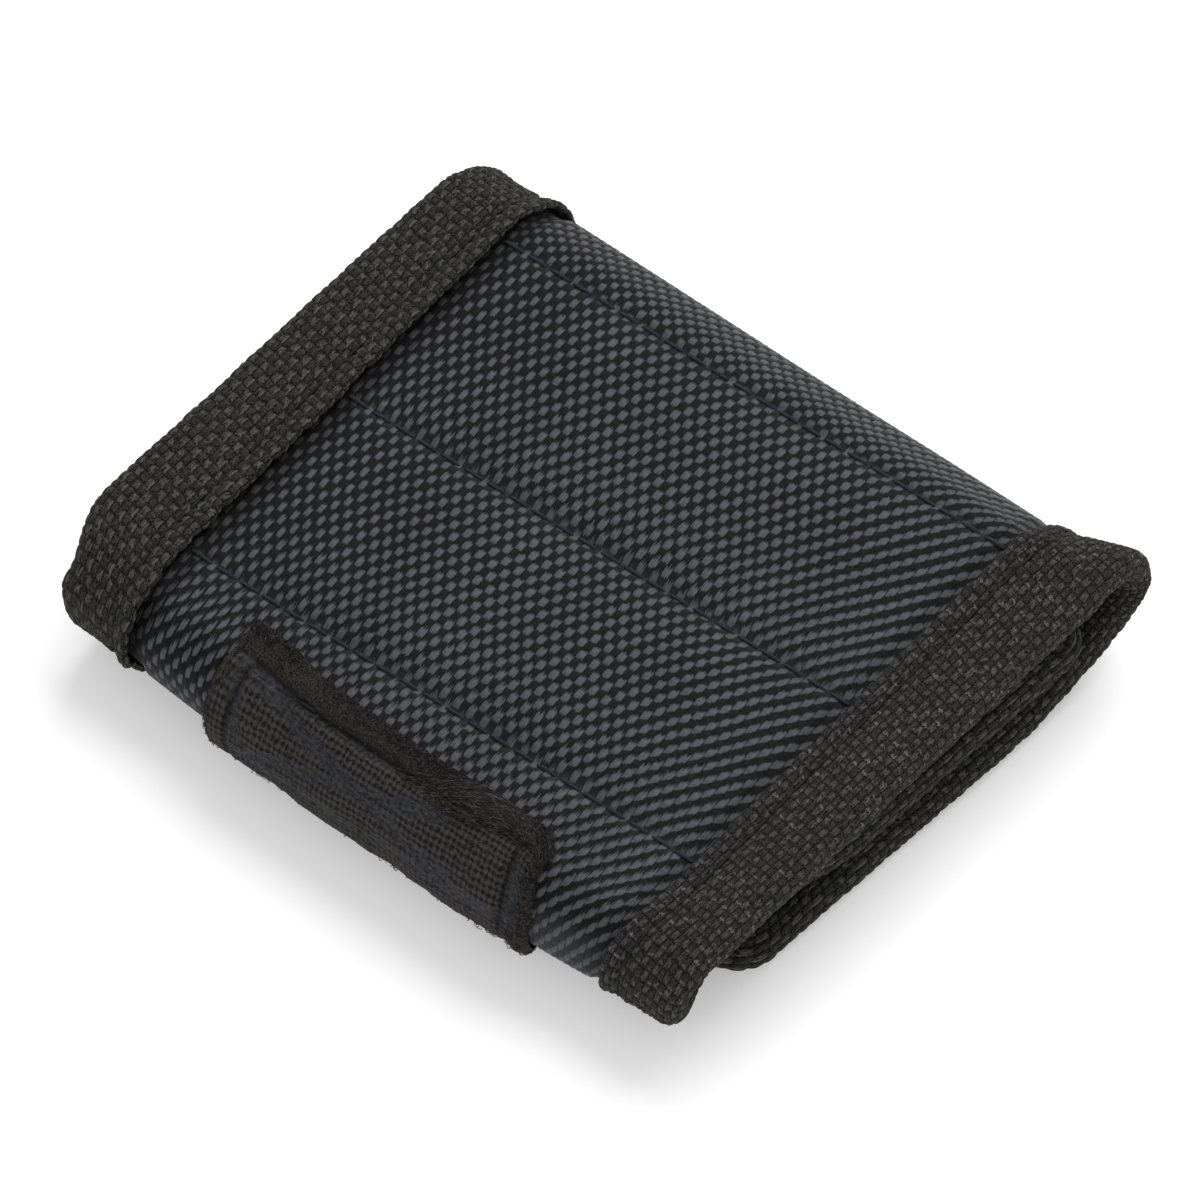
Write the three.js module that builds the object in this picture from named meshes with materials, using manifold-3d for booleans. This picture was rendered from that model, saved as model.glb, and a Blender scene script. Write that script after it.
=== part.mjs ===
// A magnetic wristband, rolled flat: one long padded strip that starts with a flap on the table, turns up
// round the right fold, runs back as the top panel, turns down round the left fold and ends as a tongue
// between the two. Millimetres, +X along the rolled strip, +Y across it, +Z up.
import * as THREE from "three";
import ManifoldModule from "manifold-3d";

// The strip and how it is rolled
const BAND_WIDTH = 90;
const ROLLED_LENGTH = 78; // over the fabric of both folds
const TOP_SLOPE = THREE.MathUtils.degToRad(4); // how much the top panel falls towards the left fold
const FLAP_SETBACK = 12.9; // from the left fold's outermost line to the flap's end
const TONGUE_SETBACK = 9.5; // from the right fold's outermost line to the tongue's end
const LEFT_FOLD_INNER_RADIUS = 3;
const RAMP_RADIUS = 6; // where the tongue levels out after the left fold
const CORNER_RADIUS = 5; // at the flap's and the tongue's ends

// Layers, from the outer face inwards
const FABRIC_THICKNESS = 0.7;
const PADDING_THICKNESS = 1.3;
const LINING_THICKNESS = 0.7;
const PLY_GAP = 0.15; // between plies that are sewn together
const LAYER_GAP = 0.3; // between parts of the strip that lie on each other
const POCKET_CROWN = 0.6; // how far a magnet pocket swells

// Edge binding
const BINDING_REACH = 10.5;
const BINDING_THICKNESS = 0.6;
const BINDING_PROUD = 0.35; // above the fabric and below the lining
const BINDING_INNER_CORNER = 1.5;
const BINDING_SLOPE = 1.5; // where the plies draw in towards the binding
const BINDING_SEAM_INSET = 2.5; // from the binding's inner edge

// Hook and loop
const HOOK_THICKNESS = 1.3;
const LOOP_THICKNESS = 2;
const PATCH_WIDTH = 45;
const HOOK_SETBACK = 4.6; // from the hook patch to the right fold
const PATCH_MARGIN = 1.5; // from the binding of a bound end to its patch
const LOOP_START = 2; // from the shoulder's flex line
const PATCH_EDGE = 0.8;
const PATCH_EDGE_SHARE = 0.55; // of the thickness at the very edge
const PATCH_SEAM_INSET = 3.5;
const PATCH_GROOVE = 0.7;
const GROOVE_FLOOR = 0.45; // half widths of the sewn groove
const GROOVE_MOUTH = 1;

// Magnets and seams
const POCKET_SETBACK = 2.9; // from the right fold to the top panel's nearest seam
const SHOULDER_SETBACK = 7.5; // from the left fold to the top panel's nearest seam
const FLAP_SEAM_SETBACK = 0.6; // from the right fold to the flap's last seam
const MAGNET_SEAM_ROOM = 8.3; // left free of a pocket's length
const MAGNET_THICKNESS = 1.2;
const MAGNET_RIB = 3.4; // between magnets, with their clearance
const MAGNETS_PER_POCKET = 3;
const MAGNET_CLEARANCE = 0.3;
const PAD_INSET = 1.2; // from a seam to the padding
const THREAD_WIDTH = 0.6;
const THREAD_LOW = 0.1;
const THREAD_HIGH = 0.22;
const THREAD_GAP = 0.1;
const STITCH_LENGTH = 3.2;

// Flex lines
const FLEX_GAP = 0.3;
const SHOULDER = 4.1; // from the start of the left fold back to its flex line
const FOLD_STEP = THREE.MathUtils.degToRad(12);

// Worked out from the sizes above
const halfWidth = BAND_WIDTH / 2;
const panel = FABRIC_THICKNESS + PADDING_THICKNESS + LINING_THICKNESS + 2 * PLY_GAP;
const tongueHeight = panel + HOOK_THICKNESS + LAYER_GAP + LOOP_THICKNESS + 2 * PLY_GAP;
const shoulderHeight = tongueHeight + 2 * panel + 2 * BINDING_PROUD + LAYER_GAP;
const leftRadius = LEFT_FOLD_INNER_RADIUS + panel;
const slopeSin = Math.sin(TOP_SLOPE);
const slopeCos = Math.cos(TOP_SLOPE);
const topRun = ROLLED_LENGTH - leftRadius * (1 - slopeSin);
const fallPerRun = slopeSin / slopeCos;
const rightRise = 1 + slopeCos + fallPerRun * (1 + slopeSin); // of the right fold, for a radius of 1
const rightRadius = (shoulderHeight + fallPerRun * topRun) / rightRise;
const rightTurn = Math.PI + TOP_SLOPE;
const rampRise = Math.max(tongueHeight - shoulderHeight + leftRadius * (1 + slopeCos), 0);
const rampAngle = Math.acos(1 - rampRise / (leftRadius + RAMP_RADIUS));
const rampRun = (leftRadius + RAMP_RADIUS) * Math.sin(rampAngle);
const flapLength = ROLLED_LENGTH - FLAP_SETBACK - rightRadius;
const topLength = (topRun - rightRadius * (1 + slopeSin)) / slopeCos;
const leftTurn = Math.PI + rampAngle - TOP_SLOPE;
const tongueLength = ROLLED_LENGTH - TONGUE_SETBACK - leftRadius - rampRun;
const coverEdgeDepth = BINDING_THICKNESS + PLY_GAP - BINDING_PROUD;
const plyMargin = panel / 2 + BINDING_PROUD;
const drawnIn = BINDING_REACH + BINDING_INNER_CORNER / 2;

// The outer face as a path of straight and round stretches in the XZ plane
const stretches = [
  { length: flapLength, turn: 0 },
  { length: rightTurn * rightRadius, turn: rightTurn },
  { length: topLength, turn: 0 },
  { length: leftTurn * leftRadius, turn: leftTurn },
  { length: rampAngle * RAMP_RADIUS, turn: -rampAngle },
  { length: tongueLength, turn: 0 },
];
const marks = [0];
for (const stretch of stretches) marks.push(marks.at(-1) + stretch.length);
const [flapStart, rightFoldStart, topStart, leftFoldStart, , tongueStart, tongueEnd] = marks;
const flexFlap = rightFoldStart + (rightTurn * rightRadius) / 4;
const flexTop = topStart - (rightTurn * rightRadius) / 4;
const flexShoulder = leftFoldStart - SHOULDER;
const pocketPitch = (topLength - POCKET_SETBACK - SHOULDER_SETBACK) / 2;
const firstSeam = topStart + POCKET_SETBACK;
const pocketSeams = [firstSeam, firstSeam + pocketPitch, firstSeam + 2 * pocketPitch];
const lastFlapSeam = rightFoldStart - FLAP_SEAM_SETBACK;
const flapSeams = [lastFlapSeam - pocketPitch, lastFlapSeam];

// A point of the strip: along it, across it, and its depth below the outer face
function place(along, across, depth) {
  let x = FLAP_SETBACK;
  let z = 0;
  let heading = 0;
  let left = along;
  for (const [index, { length, turn }] of stretches.entries()) {
    const run = index === stretches.length - 1 ? left : Math.min(left, length);
    if (turn === 0) {
      x += run * Math.cos(heading);
      z += run * Math.sin(heading);
    } else {
      const bend = turn / length;
      const next = heading + bend * run;
      x += (Math.sin(next) - Math.sin(heading)) / bend;
      z += (Math.cos(heading) - Math.cos(next)) / bend;
      heading = next;
    }
    left -= run;
    if (left <= 0) break;
  }
  return new THREE.Vector3(x - depth * Math.sin(heading), across, z + depth * Math.cos(heading));
}

// Rows between two places along the strip, with enough of them on its round stretches
function rowsBetween(from, to) {
  const rows = [from];
  stretches.forEach(({ turn }, index) => {
    const start = Math.max(from, marks[index]);
    const end = Math.min(to, marks[index + 1]);
    if (end - start < 1e-6) return;
    const share = (end - start) / stretches[index].length;
    const steps = Math.max(1, Math.ceil((Math.abs(turn) * share) / FOLD_STEP));
    for (let i = 1; i <= steps; i++) rows.push(start + ((end - start) * i) / steps);
  });
  return rows;
}

function evenly(from, to, steps) {
  return Array.from({ length: steps + 1 }, (_, i) => from + ((to - from) * i) / steps);
}

// A closed geometry from points and faces, turned so that it faces out
function closedGeometry(points, faces) {
  let volume = 0;
  const cross = new THREE.Vector3();
  for (const [a, b, c] of faces) volume += points[a].dot(cross.crossVectors(points[b], points[c]));
  const index = faces.flatMap(([a, b, c]) => (volume < 0 ? [a, c, b] : [a, b, c]));
  const geometry = new THREE.BufferGeometry().setFromPoints(points);
  geometry.setIndex(index);
  geometry.computeVertexNormals();
  return geometry;
}

// A sheet over a grid of rows and columns, between two depths. A row is a number or a function of across.
function sheet(rows, columns, outer, inner) {
  const points = [];
  const faces = [];
  const wide = columns.length;
  const size = rows.length * wide;
  for (const depthAt of [outer, inner]) {
    for (const row of rows) {
      for (const across of columns) {
        const along = typeof row === "function" ? row(across) : row;
        points.push(place(along, across, depthAt(along, across)));
      }
    }
  }
  const quad = (a, b, c, d) => faces.push([a, b, c], [a, c, d]);
  for (let i = 0; i + 1 < rows.length; i++) {
    for (let j = 0; j + 1 < wide; j++) {
      const at = i * wide + j;
      quad(at, at + wide, at + wide + 1, at + 1);
      quad(size + at, size + at + 1, size + at + wide + 1, size + at + wide);
    }
  }
  const wall = (a, b) => quad(a, b, size + b, size + a);
  for (let j = 0; j + 1 < wide; j++) {
    wall(j, j + 1);
    wall((rows.length - 1) * wide + j + 1, (rows.length - 1) * wide + j);
  }
  for (let i = 0; i + 1 < rows.length; i++) {
    wall((i + 1) * wide, i * wide);
    wall(i * wide + wide - 1, (i + 1) * wide + wide - 1);
  }
  return closedGeometry(points, faces);
}

// A section swept along stations. A station has an edge point and an inner point, and a section point is
// a share of the way between them and a depth.
function sweep(stations, section, ring = false) {
  const points = [];
  const faces = [];
  const around = section.length;
  for (const { edge, inner } of stations) {
    for (const [share, depth] of section) {
      const at = edge.clone().lerp(inner, share);
      points.push(place(at.x, at.y, depth));
    }
  }
  const spans = ring ? stations.length : stations.length - 1;
  for (let i = 0; i < spans; i++) {
    const here = i * around;
    const there = ((i + 1) % stations.length) * around;
    for (let k = 0; k < around; k++) {
      const next = (k + 1) % around;
      faces.push([here + k, there + k, there + next], [here + k, there + next, here + next]);
    }
  }
  if (!ring) {
    const outline = section.map(([share, depth]) => new THREE.Vector2(share * BINDING_REACH, depth));
    const last = (stations.length - 1) * around;
    for (const [a, b, c] of THREE.ShapeUtils.triangulateShape(outline, [])) {
      const forward = THREE.ShapeUtils.isClockWise(outline);
      faces.push(forward ? [a, c, b] : [a, b, c]);
      faces.push(forward ? [last + a, last + b, last + c] : [last + a, last + c, last + b]);
    }
  }
  return closedGeometry(points, faces);
}

// How far the plies are drawn in: 0 in the panel, 1 inside the binding
function drawIn(along, across) {
  const reach = Math.min(halfWidth - Math.abs(across), along - flapStart, tongueEnd - along);
  return 1 - THREE.MathUtils.smoothstep(reach, drawnIn, drawnIn + BINDING_SLOPE);
}

// How far the outer fabric swells over a magnet pocket
function crown(along, across) {
  const pocket = pocketSeams.findIndex((seam, i) => along > seam && along < pocketSeams[i + 1]);
  if (pocket < 0) return 0;
  const lengthwise = (2 * (along - pocketSeams[pocket])) / pocketPitch - 1;
  const crosswise = Math.min(Math.abs(across) / (halfWidth - drawnIn - BINDING_SLOPE), 1);
  return POCKET_CROWN * (1 - lengthwise ** 4) * (1 - crosswise ** 4);
}

const coverOuter = (along, across) => coverEdgeDepth * drawIn(along, across) - crown(along, across);
const coverInner = (along, across) => coverOuter(along, across) + FABRIC_THICKNESS;
const liningInner = (along, across) => panel - coverEdgeDepth * drawIn(along, across);
const liningOuter = (along, across) => liningInner(along, across) - LINING_THICKNESS;
const paddingOuter = (along, across) => FABRIC_THICKNESS + PLY_GAP - crown(along, across);
const paddingInner = () => panel - LINING_THICKNESS - PLY_GAP;

// Columns across the strip, with the points that a rounded end and the drawn-in edges need
const plyEdge = halfWidth - plyMargin;
const plyCorner = CORNER_RADIUS - plyMargin;
const slopeStart = halfWidth - drawnIn;
const slopeEnd = slopeStart - BINDING_SLOPE;
const padHalfWidth = slopeEnd - PLY_GAP;
const cornerColumns = evenly(0, Math.PI / 2, 4).map((turn) => plyEdge - plyCorner * (1 - Math.cos(turn)));
const bothSides = (columns) => [...columns, ...columns.map((across) => -across).reverse()];
const endColumns = bothSides([...cornerColumns, slopeStart, slopeEnd]);
const foldColumns = bothSides([plyEdge, slopeStart, slopeEnd]);
const topColumns = bothSides([plyEdge, slopeStart, ...evenly(slopeEnd, slopeEnd / 7, 3)]);
const padColumns = evenly(-padHalfWidth, padHalfWidth, 6);

// The rounded end of a ply, as its inset from the strip's end
function endInset(across) {
  const past = Math.max(Math.abs(across) - (halfWidth - CORNER_RADIUS), 0);
  return plyMargin + plyCorner - Math.sqrt(Math.max(plyCorner ** 2 - past ** 2, 0));
}

const flapRows = [
  (across) => flapStart + endInset(across),
  flapStart + drawnIn,
  ...rowsBetween(flapStart + drawnIn + BINDING_SLOPE, flexFlap - FLEX_GAP / 2),
];
const foldRows = rowsBetween(flexFlap + FLEX_GAP / 2, flexTop - FLEX_GAP / 2);
const topRows = [
  ...rowsBetween(flexTop + FLEX_GAP / 2, pocketSeams[0]),
  ...evenly(pocketSeams[0], pocketSeams[1], 8).slice(1),
  ...evenly(pocketSeams[1], pocketSeams[2], 8).slice(1),
  flexShoulder - FLEX_GAP / 2,
];
const tongueRows = [
  ...rowsBetween(flexShoulder + FLEX_GAP / 2, tongueEnd - drawnIn - BINDING_SLOPE),
  tongueEnd - drawnIn,
  (across) => tongueEnd - endInset(across),
];

const cover = (rows, columns) => sheet(rows, columns, coverOuter, coverInner);
const lining = (rows, columns) => sheet(rows, columns, liningOuter, liningInner);
const padding = (rows) => sheet(rows, padColumns, paddingOuter, paddingInner);

// The binding's section: two legs and the round edge between them
const bindingSection = (() => {
  const middle = panel / 2;
  const outerHalf = middle + BINDING_PROUD;
  const innerHalf = outerHalf - BINDING_THICKNESS;
  const bend = (half, rise, turn) => [
    (rise * (1 - Math.sin(turn)) + outerHalf - rise) / BINDING_REACH,
    middle - half * Math.cos(turn),
  ];
  const turns = evenly(0, Math.PI, 6);
  const outside = turns.map((turn) => bend(outerHalf, outerHalf, turn));
  const inside = turns.map((turn) => bend(innerHalf, innerHalf, turn)).reverse();
  return [[1, -BINDING_PROUD], ...outside, [1, panel + BINDING_PROUD],
    [1, middle + innerHalf], ...inside, [1, middle - innerHalf]];
})();

const station = (along, side) => ({
  edge: new THREE.Vector2(along, side * halfWidth),
  inner: new THREE.Vector2(along, side * (halfWidth - BINDING_REACH)),
});

// Stations round one end of the strip, from one long edge across the end to the other
function endStations(end, inwards) {
  const corner = (side, turn) => {
    const towards = new THREE.Vector2(-inwards * Math.sin(turn), side * Math.cos(turn));
    const outerCentre = new THREE.Vector2(end + inwards * CORNER_RADIUS, side * (halfWidth - CORNER_RADIUS));
    const inset = BINDING_REACH + BINDING_INNER_CORNER;
    const innerCentre = new THREE.Vector2(end + inwards * inset, side * (halfWidth - inset));
    return {
      edge: outerCentre.addScaledVector(towards, CORNER_RADIUS),
      inner: innerCentre.addScaledVector(towards, BINDING_INNER_CORNER),
    };
  };
  const turns = evenly(0, Math.PI / 2, 5);
  return [...turns.map((turn) => corner(-1, turn)), ...turns.reverse().map((turn) => corner(1, turn))];
}

// The binding round a bound end and along both edges up to a flex line
function endBinding(end, inwards, rows) {
  const right = rows.map((along) => station(along, -1));
  const left = rows.map((along) => station(along, 1)).reverse();
  return sweep([...right, ...endStations(end, inwards), ...left], bindingSection);
}

const edgeBinding = (rows, side) => sweep(rows.map((along) => station(along, side)), bindingSection);

// A sewn patch on the outer face (side -1) or on the lining (side 1), with the groove of its seam
function patchDepth(side, rise) {
  return side < 0 ? -PLY_GAP - rise : panel + PLY_GAP + rise;
}

function patch(from, length, thickness, side) {
  const half = PATCH_WIDTH / 2;
  const seamFrom = from + PATCH_SEAM_INSET;
  const seamTo = from + length - PATCH_SEAM_INSET;
  const seamHalf = half - PATCH_SEAM_INSET;
  const grooveSides = [-GROOVE_MOUTH, -GROOVE_FLOOR, GROOVE_FLOOR, GROOVE_MOUTH];
  const beside = (seam) => grooveSides.map((off) => seam + off);
  const groove = (off) => 1 - THREE.MathUtils.smoothstep(Math.abs(off), GROOVE_FLOOR, GROOVE_MOUTH);
  const rise = (along, across) => {
    const toEdge = Math.min(along - from, from + length - along, half - Math.abs(across));
    const edge = PATCH_EDGE_SHARE + (1 - PATCH_EDGE_SHARE) * Math.min(toEdge / PATCH_EDGE, 1);
    const pastEnd = Math.max(seamFrom - along, along - seamTo, 0);
    const pastSide = Math.max(Math.abs(across) - seamHalf, 0);
    const lengthwise = groove(Math.abs(across) - seamHalf) * groove(pastEnd);
    const crosswise = Math.max(groove(along - seamFrom), groove(along - seamTo)) * groove(pastSide);
    return thickness * edge - PATCH_GROOVE * Math.max(lengthwise, crosswise);
  };
  const rows = [from, from + PATCH_EDGE, ...beside(seamFrom)];
  rows.push(...rowsBetween(seamFrom + GROOVE_MOUTH, seamTo - GROOVE_MOUTH).slice(1, -1));
  rows.push(...beside(seamTo), from + length - PATCH_EDGE, from + length);
  const seamColumns = [...beside(-seamHalf), ...beside(seamHalf)];
  const columns = [-half, PATCH_EDGE - half, ...seamColumns, half - PATCH_EDGE, half];
  const base = () => patchDepth(side, 0);
  const face = (along, across) => patchDepth(side, rise(along, across));
  return side < 0 ? sheet(rows, columns, face, base) : sheet(rows, columns, base, face);
}

// The ring of thread in a patch's groove
function patchSeam(from, length, thickness, side) {
  const half = PATCH_WIDTH / 2 - PATCH_SEAM_INSET;
  const seamFrom = from + PATCH_SEAM_INSET;
  const seamTo = from + length - PATCH_SEAM_INSET;
  const wide = THREAD_WIDTH / 2;
  const at = (along, across, outX, outY) => ({
    edge: new THREE.Vector2(along + wide * outX, across + wide * outY),
    inner: new THREE.Vector2(along - wide * outX, across - wide * outY),
  });
  const between = rowsBetween(seamFrom, seamTo).slice(1, -1);
  const stations = [
    at(seamFrom, -half, -1, -1),
    ...between.map((along) => at(along, -half, 0, -1)),
    at(seamTo, -half, 1, -1),
    at(seamTo, half, 1, 1),
    ...between.reverse().map((along) => at(along, half, 0, 1)),
    at(seamFrom, half, -1, 1),
  ];
  const low = patchDepth(side, thickness - PATCH_GROOVE + THREAD_GAP);
  const high = patchDepth(side, thickness - PATCH_GROOVE + THREAD_GAP + THREAD_HIGH);
  return sweep(stations, [[0, low], [1, low], [1, high], [0, high]], true);
}

// Half stitches between two ends of a seam, and the thread's rise, high and low in turn
function stitches(from, to) {
  const count = 2 * Math.round((to - from) / STITCH_LENGTH);
  const places = evenly(from, to, count);
  const rise = (at) => (Math.round(((at - from) / (to - from)) * count) % 2 ? THREAD_HIGH : THREAD_LOW);
  return { places, rise };
}

// A seam across the strip on its outer face
function crossSeam(along) {
  const { places, rise } = stitches(-slopeEnd, slopeEnd);
  const rows = [along - THREAD_WIDTH / 2, along + THREAD_WIDTH / 2];
  return sheet(rows, places, (_, across) => -THREAD_GAP - rise(across), () => -THREAD_GAP);
}

// A seam along the top panel's binding
function bindingSeam(side) {
  const across = side * (halfWidth - BINDING_REACH + BINDING_SEAM_INSET);
  const { places, rise } = stitches(topStart, flexShoulder - 2 * FLEX_GAP);
  const columns = [across - THREAD_WIDTH / 2, across + THREAD_WIDTH / 2];
  const base = -BINDING_PROUD - THREAD_GAP;
  return sheet(places, columns, (along) => base - rise(along), () => base);
}

// Magnets of one pocket, side by side across the strip
const magnetSpacing = (2 * padHalfWidth) / MAGNETS_PER_POCKET;
const magnetLong = pocketPitch - MAGNET_SEAM_ROOM;
const magnetWide = magnetSpacing - MAGNET_RIB;
const magnetTop = panel - LINING_THICKNESS - 2 * PLY_GAP - MAGNET_THICKNESS;

function magnetPlaces(seam) {
  return evenly(0, MAGNETS_PER_POCKET - 1, MAGNETS_PER_POCKET - 1).map((index) => ({
    along: seam + pocketPitch / 2,
    across: (index - (MAGNETS_PER_POCKET - 1) / 2) * magnetSpacing,
  }));
}

function block({ along, across }, clearance, from, to) {
  const long = magnetLong / 2 + clearance;
  const wide = magnetWide / 2 + clearance;
  return sheet([along - long, along + long], [across - wide, across + wide], () => from, () => to);
}

const magnet = (spot) => block(spot, 0, magnetTop, magnetTop + MAGNET_THICKNESS);

// Padding of a pocket, with a window for each magnet
const manifold = await ManifoldModule();
manifold.setup();

function toSolid(geometry) {
  const mesh = new manifold.Mesh({
    numProp: 3,
    vertProperties: new Float32Array(geometry.getAttribute("position").array),
    triVerts: new Uint32Array(geometry.index.array),
  });
  return new manifold.Manifold(mesh);
}

function pocketPadding(seam) {
  const rows = evenly(seam + PAD_INSET, seam + pocketPitch - PAD_INSET, 6);
  let solid = toSolid(padding(rows));
  for (const spot of magnetPlaces(seam)) {
    solid = solid.subtract(toSolid(block(spot, MAGNET_CLEARANCE, -panel, 2 * panel)));
  }
  const { vertProperties, triVerts } = solid.getMesh();
  const geometry = new THREE.BufferGeometry();
  geometry.setAttribute("position", new THREE.BufferAttribute(vertProperties, 3));
  geometry.setIndex(new THREE.BufferAttribute(triVerts, 1));
  geometry.computeVertexNormals();
  return geometry;
}

const colours = {
  fabric: { color: 0x2b2d31, roughness: 0.55, metalness: 0 },
  lining: { color: 0x1d1d1f, roughness: 0.9, metalness: 0 },
  padding: { color: 0x3a3a3c, roughness: 1, metalness: 0 },
  binding: { color: 0x25231f, roughness: 0.85, metalness: 0 },
  hook: { color: 0x161616, roughness: 0.8, metalness: 0 },
  loop: { color: 0x201e1b, roughness: 1, metalness: 0 },
  magnet: { color: 0xb9bcc0, roughness: 0.3, metalness: 1 },
  thread: { color: 0x131418, roughness: 0.7, metalness: 0 },
};

const wristband = new THREE.Group();
wristband.name = "wristband";

function add(name, colour, geometry) {
  const mesh = new THREE.Mesh(geometry, new THREE.MeshStandardMaterial(colours[colour]));
  mesh.name = name;
  wristband.add(mesh);
}

function addMagnets(prefix, seams) {
  const spots = seams.flatMap((seam) => magnetPlaces(seam));
  spots.forEach((spot, index) => add(`${prefix}_magnet_${index + 1}`, "magnet", magnet(spot)));
}

// Flap, which lies on the table with the hook patch on its lining
const hookFrom = flapStart + BINDING_REACH + PATCH_MARGIN;
const hookLength = rightFoldStart - HOOK_SETBACK - hookFrom;
const flapBindingRows = rowsBetween(flapStart + 2 * BINDING_REACH, flexFlap - FLEX_GAP / 2).reverse();
const flapPadFrom = flapStart + drawnIn + BINDING_SLOPE + PLY_GAP;
add("flap_outer_fabric", "fabric", cover(flapRows, endColumns));
add("flap_lining", "lining", lining(flapRows, endColumns));
add("flap_padding_end", "padding", padding(rowsBetween(flapPadFrom, flapSeams[0] - PAD_INSET)));
add("flap_padding_pocket", "padding", pocketPadding(flapSeams[0]));
add("flap_binding", "binding", endBinding(flapStart, 1, flapBindingRows));
add("hook_patch", "hook", patch(hookFrom, hookLength, HOOK_THICKNESS, 1));
add("hook_patch_seam", "thread", patchSeam(hookFrom, hookLength, HOOK_THICKNESS, 1));
addMagnets("flap", [flapSeams[0]]);
flapSeams.forEach((seam, index) => add(`flap_seam_${index + 1}`, "thread", crossSeam(seam)));

// Right fold, between the two flex lines that open the band
add("fold_outer_fabric", "fabric", cover(foldRows, foldColumns));
add("fold_lining", "lining", lining(foldRows, foldColumns));
add("fold_padding", "padding", padding(foldRows));
add("fold_binding_right", "binding", edgeBinding(foldRows, -1));
add("fold_binding_left", "binding", edgeBinding(foldRows, 1));

// Top panel with its magnet pockets
const topBindingRows = rowsBetween(flexTop + FLEX_GAP / 2, flexShoulder - FLEX_GAP / 2);
add("top_outer_fabric", "fabric", cover(topRows, topColumns));
add("top_lining", "lining", lining(topRows, topColumns));
const topPockets = pocketSeams.slice(0, -1);
topPockets.forEach((seam, index) => add(`top_padding_${index + 1}`, "padding", pocketPadding(seam)));
add("top_binding_right", "binding", edgeBinding(topBindingRows, -1));
add("top_binding_left", "binding", edgeBinding(topBindingRows, 1));
add("top_binding_seam_right", "thread", bindingSeam(-1));
add("top_binding_seam_left", "thread", bindingSeam(1));
addMagnets("top", topPockets);
pocketSeams.forEach((seam, index) => add(`pocket_seam_${index + 1}`, "thread", crossSeam(seam)));

// Left fold and tongue, with the loop patch on the outer face
const loopFrom = flexShoulder + LOOP_START;
const loopLength = tongueEnd - BINDING_REACH - PATCH_MARGIN - loopFrom;
const tongueBindingRows = rowsBetween(flexShoulder + FLEX_GAP / 2, tongueEnd - 2 * BINDING_REACH);
const tonguePadTo = tongueEnd - drawnIn - BINDING_SLOPE - PLY_GAP;
add("tongue_outer_fabric", "fabric", cover(tongueRows, endColumns));
add("tongue_lining", "lining", lining(tongueRows, endColumns));
add("tongue_padding_fold", "padding", padding(rowsBetween(flexShoulder + PAD_INSET, tongueStart)));
add("tongue_padding", "padding", padding(rowsBetween(tongueStart + PAD_INSET, tonguePadTo)));
add("tongue_binding", "binding", endBinding(tongueEnd, -1, tongueBindingRows));
add("loop_patch", "loop", patch(loopFrom, loopLength, LOOP_THICKNESS, -1));
add("loop_patch_seam", "thread", patchSeam(loopFrom, loopLength, LOOP_THICKNESS, -1));

// Origin at the middle of the bottom of the whole object
const box = new THREE.Box3().setFromObject(wristband);
const middle = box.getCenter(new THREE.Vector3());
for (const mesh of wristband.children) mesh.geometry.translate(-middle.x, -middle.y, -box.min.z);

export default wristband;
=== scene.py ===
"""A magnetic wristband, rolled flat, dressed over its CAD frame.

The strip is laid out flat in millimetres (along it, across it, and the depth below its outer face) and
wrapped round the same path as the solids. Every piece goes through that one mapping, so the layers follow
each other. Metres only appear where meshes, joints, lights and the camera are made.
"""
import math

import bpy
import numpy as np
from mathutils import Matrix, Vector


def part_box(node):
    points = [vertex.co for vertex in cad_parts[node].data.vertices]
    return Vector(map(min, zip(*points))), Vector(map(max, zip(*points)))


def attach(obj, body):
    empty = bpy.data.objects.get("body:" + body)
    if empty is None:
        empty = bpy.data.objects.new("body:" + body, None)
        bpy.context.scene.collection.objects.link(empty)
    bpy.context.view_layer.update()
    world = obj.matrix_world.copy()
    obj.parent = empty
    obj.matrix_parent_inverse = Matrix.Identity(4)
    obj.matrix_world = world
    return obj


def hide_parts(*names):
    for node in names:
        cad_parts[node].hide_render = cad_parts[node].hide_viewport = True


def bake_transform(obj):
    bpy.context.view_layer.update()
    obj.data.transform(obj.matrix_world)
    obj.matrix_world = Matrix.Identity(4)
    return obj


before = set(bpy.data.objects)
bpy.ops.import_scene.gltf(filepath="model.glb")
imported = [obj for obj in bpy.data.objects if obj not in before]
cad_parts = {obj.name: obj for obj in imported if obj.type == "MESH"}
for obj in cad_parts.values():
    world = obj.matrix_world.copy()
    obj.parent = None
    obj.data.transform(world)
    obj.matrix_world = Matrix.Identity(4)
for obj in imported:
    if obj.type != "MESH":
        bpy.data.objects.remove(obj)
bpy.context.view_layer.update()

MM = 0.001
PERCENT = 0.01
TURN = 2 * math.pi

# The strip and how it is rolled, in millimetres
BAND_WIDTH = 90
ROLLED_LENGTH = 78
TOP_SLOPE = math.radians(4)
FLAP_SETBACK = 12.9
TONGUE_SETBACK = 9.5
LEFT_FOLD_INNER_RADIUS = 3
RAMP_RADIUS = 6
CORNER_RADIUS = 5

# Layers, from the outer face inwards
FABRIC_THICKNESS = 0.7
PADDING_THICKNESS = 1.3
LINING_THICKNESS = 0.7
PLY_GAP = 0.15
LAYER_GAP = 0.3
POCKET_CROWN = 0.8

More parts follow.
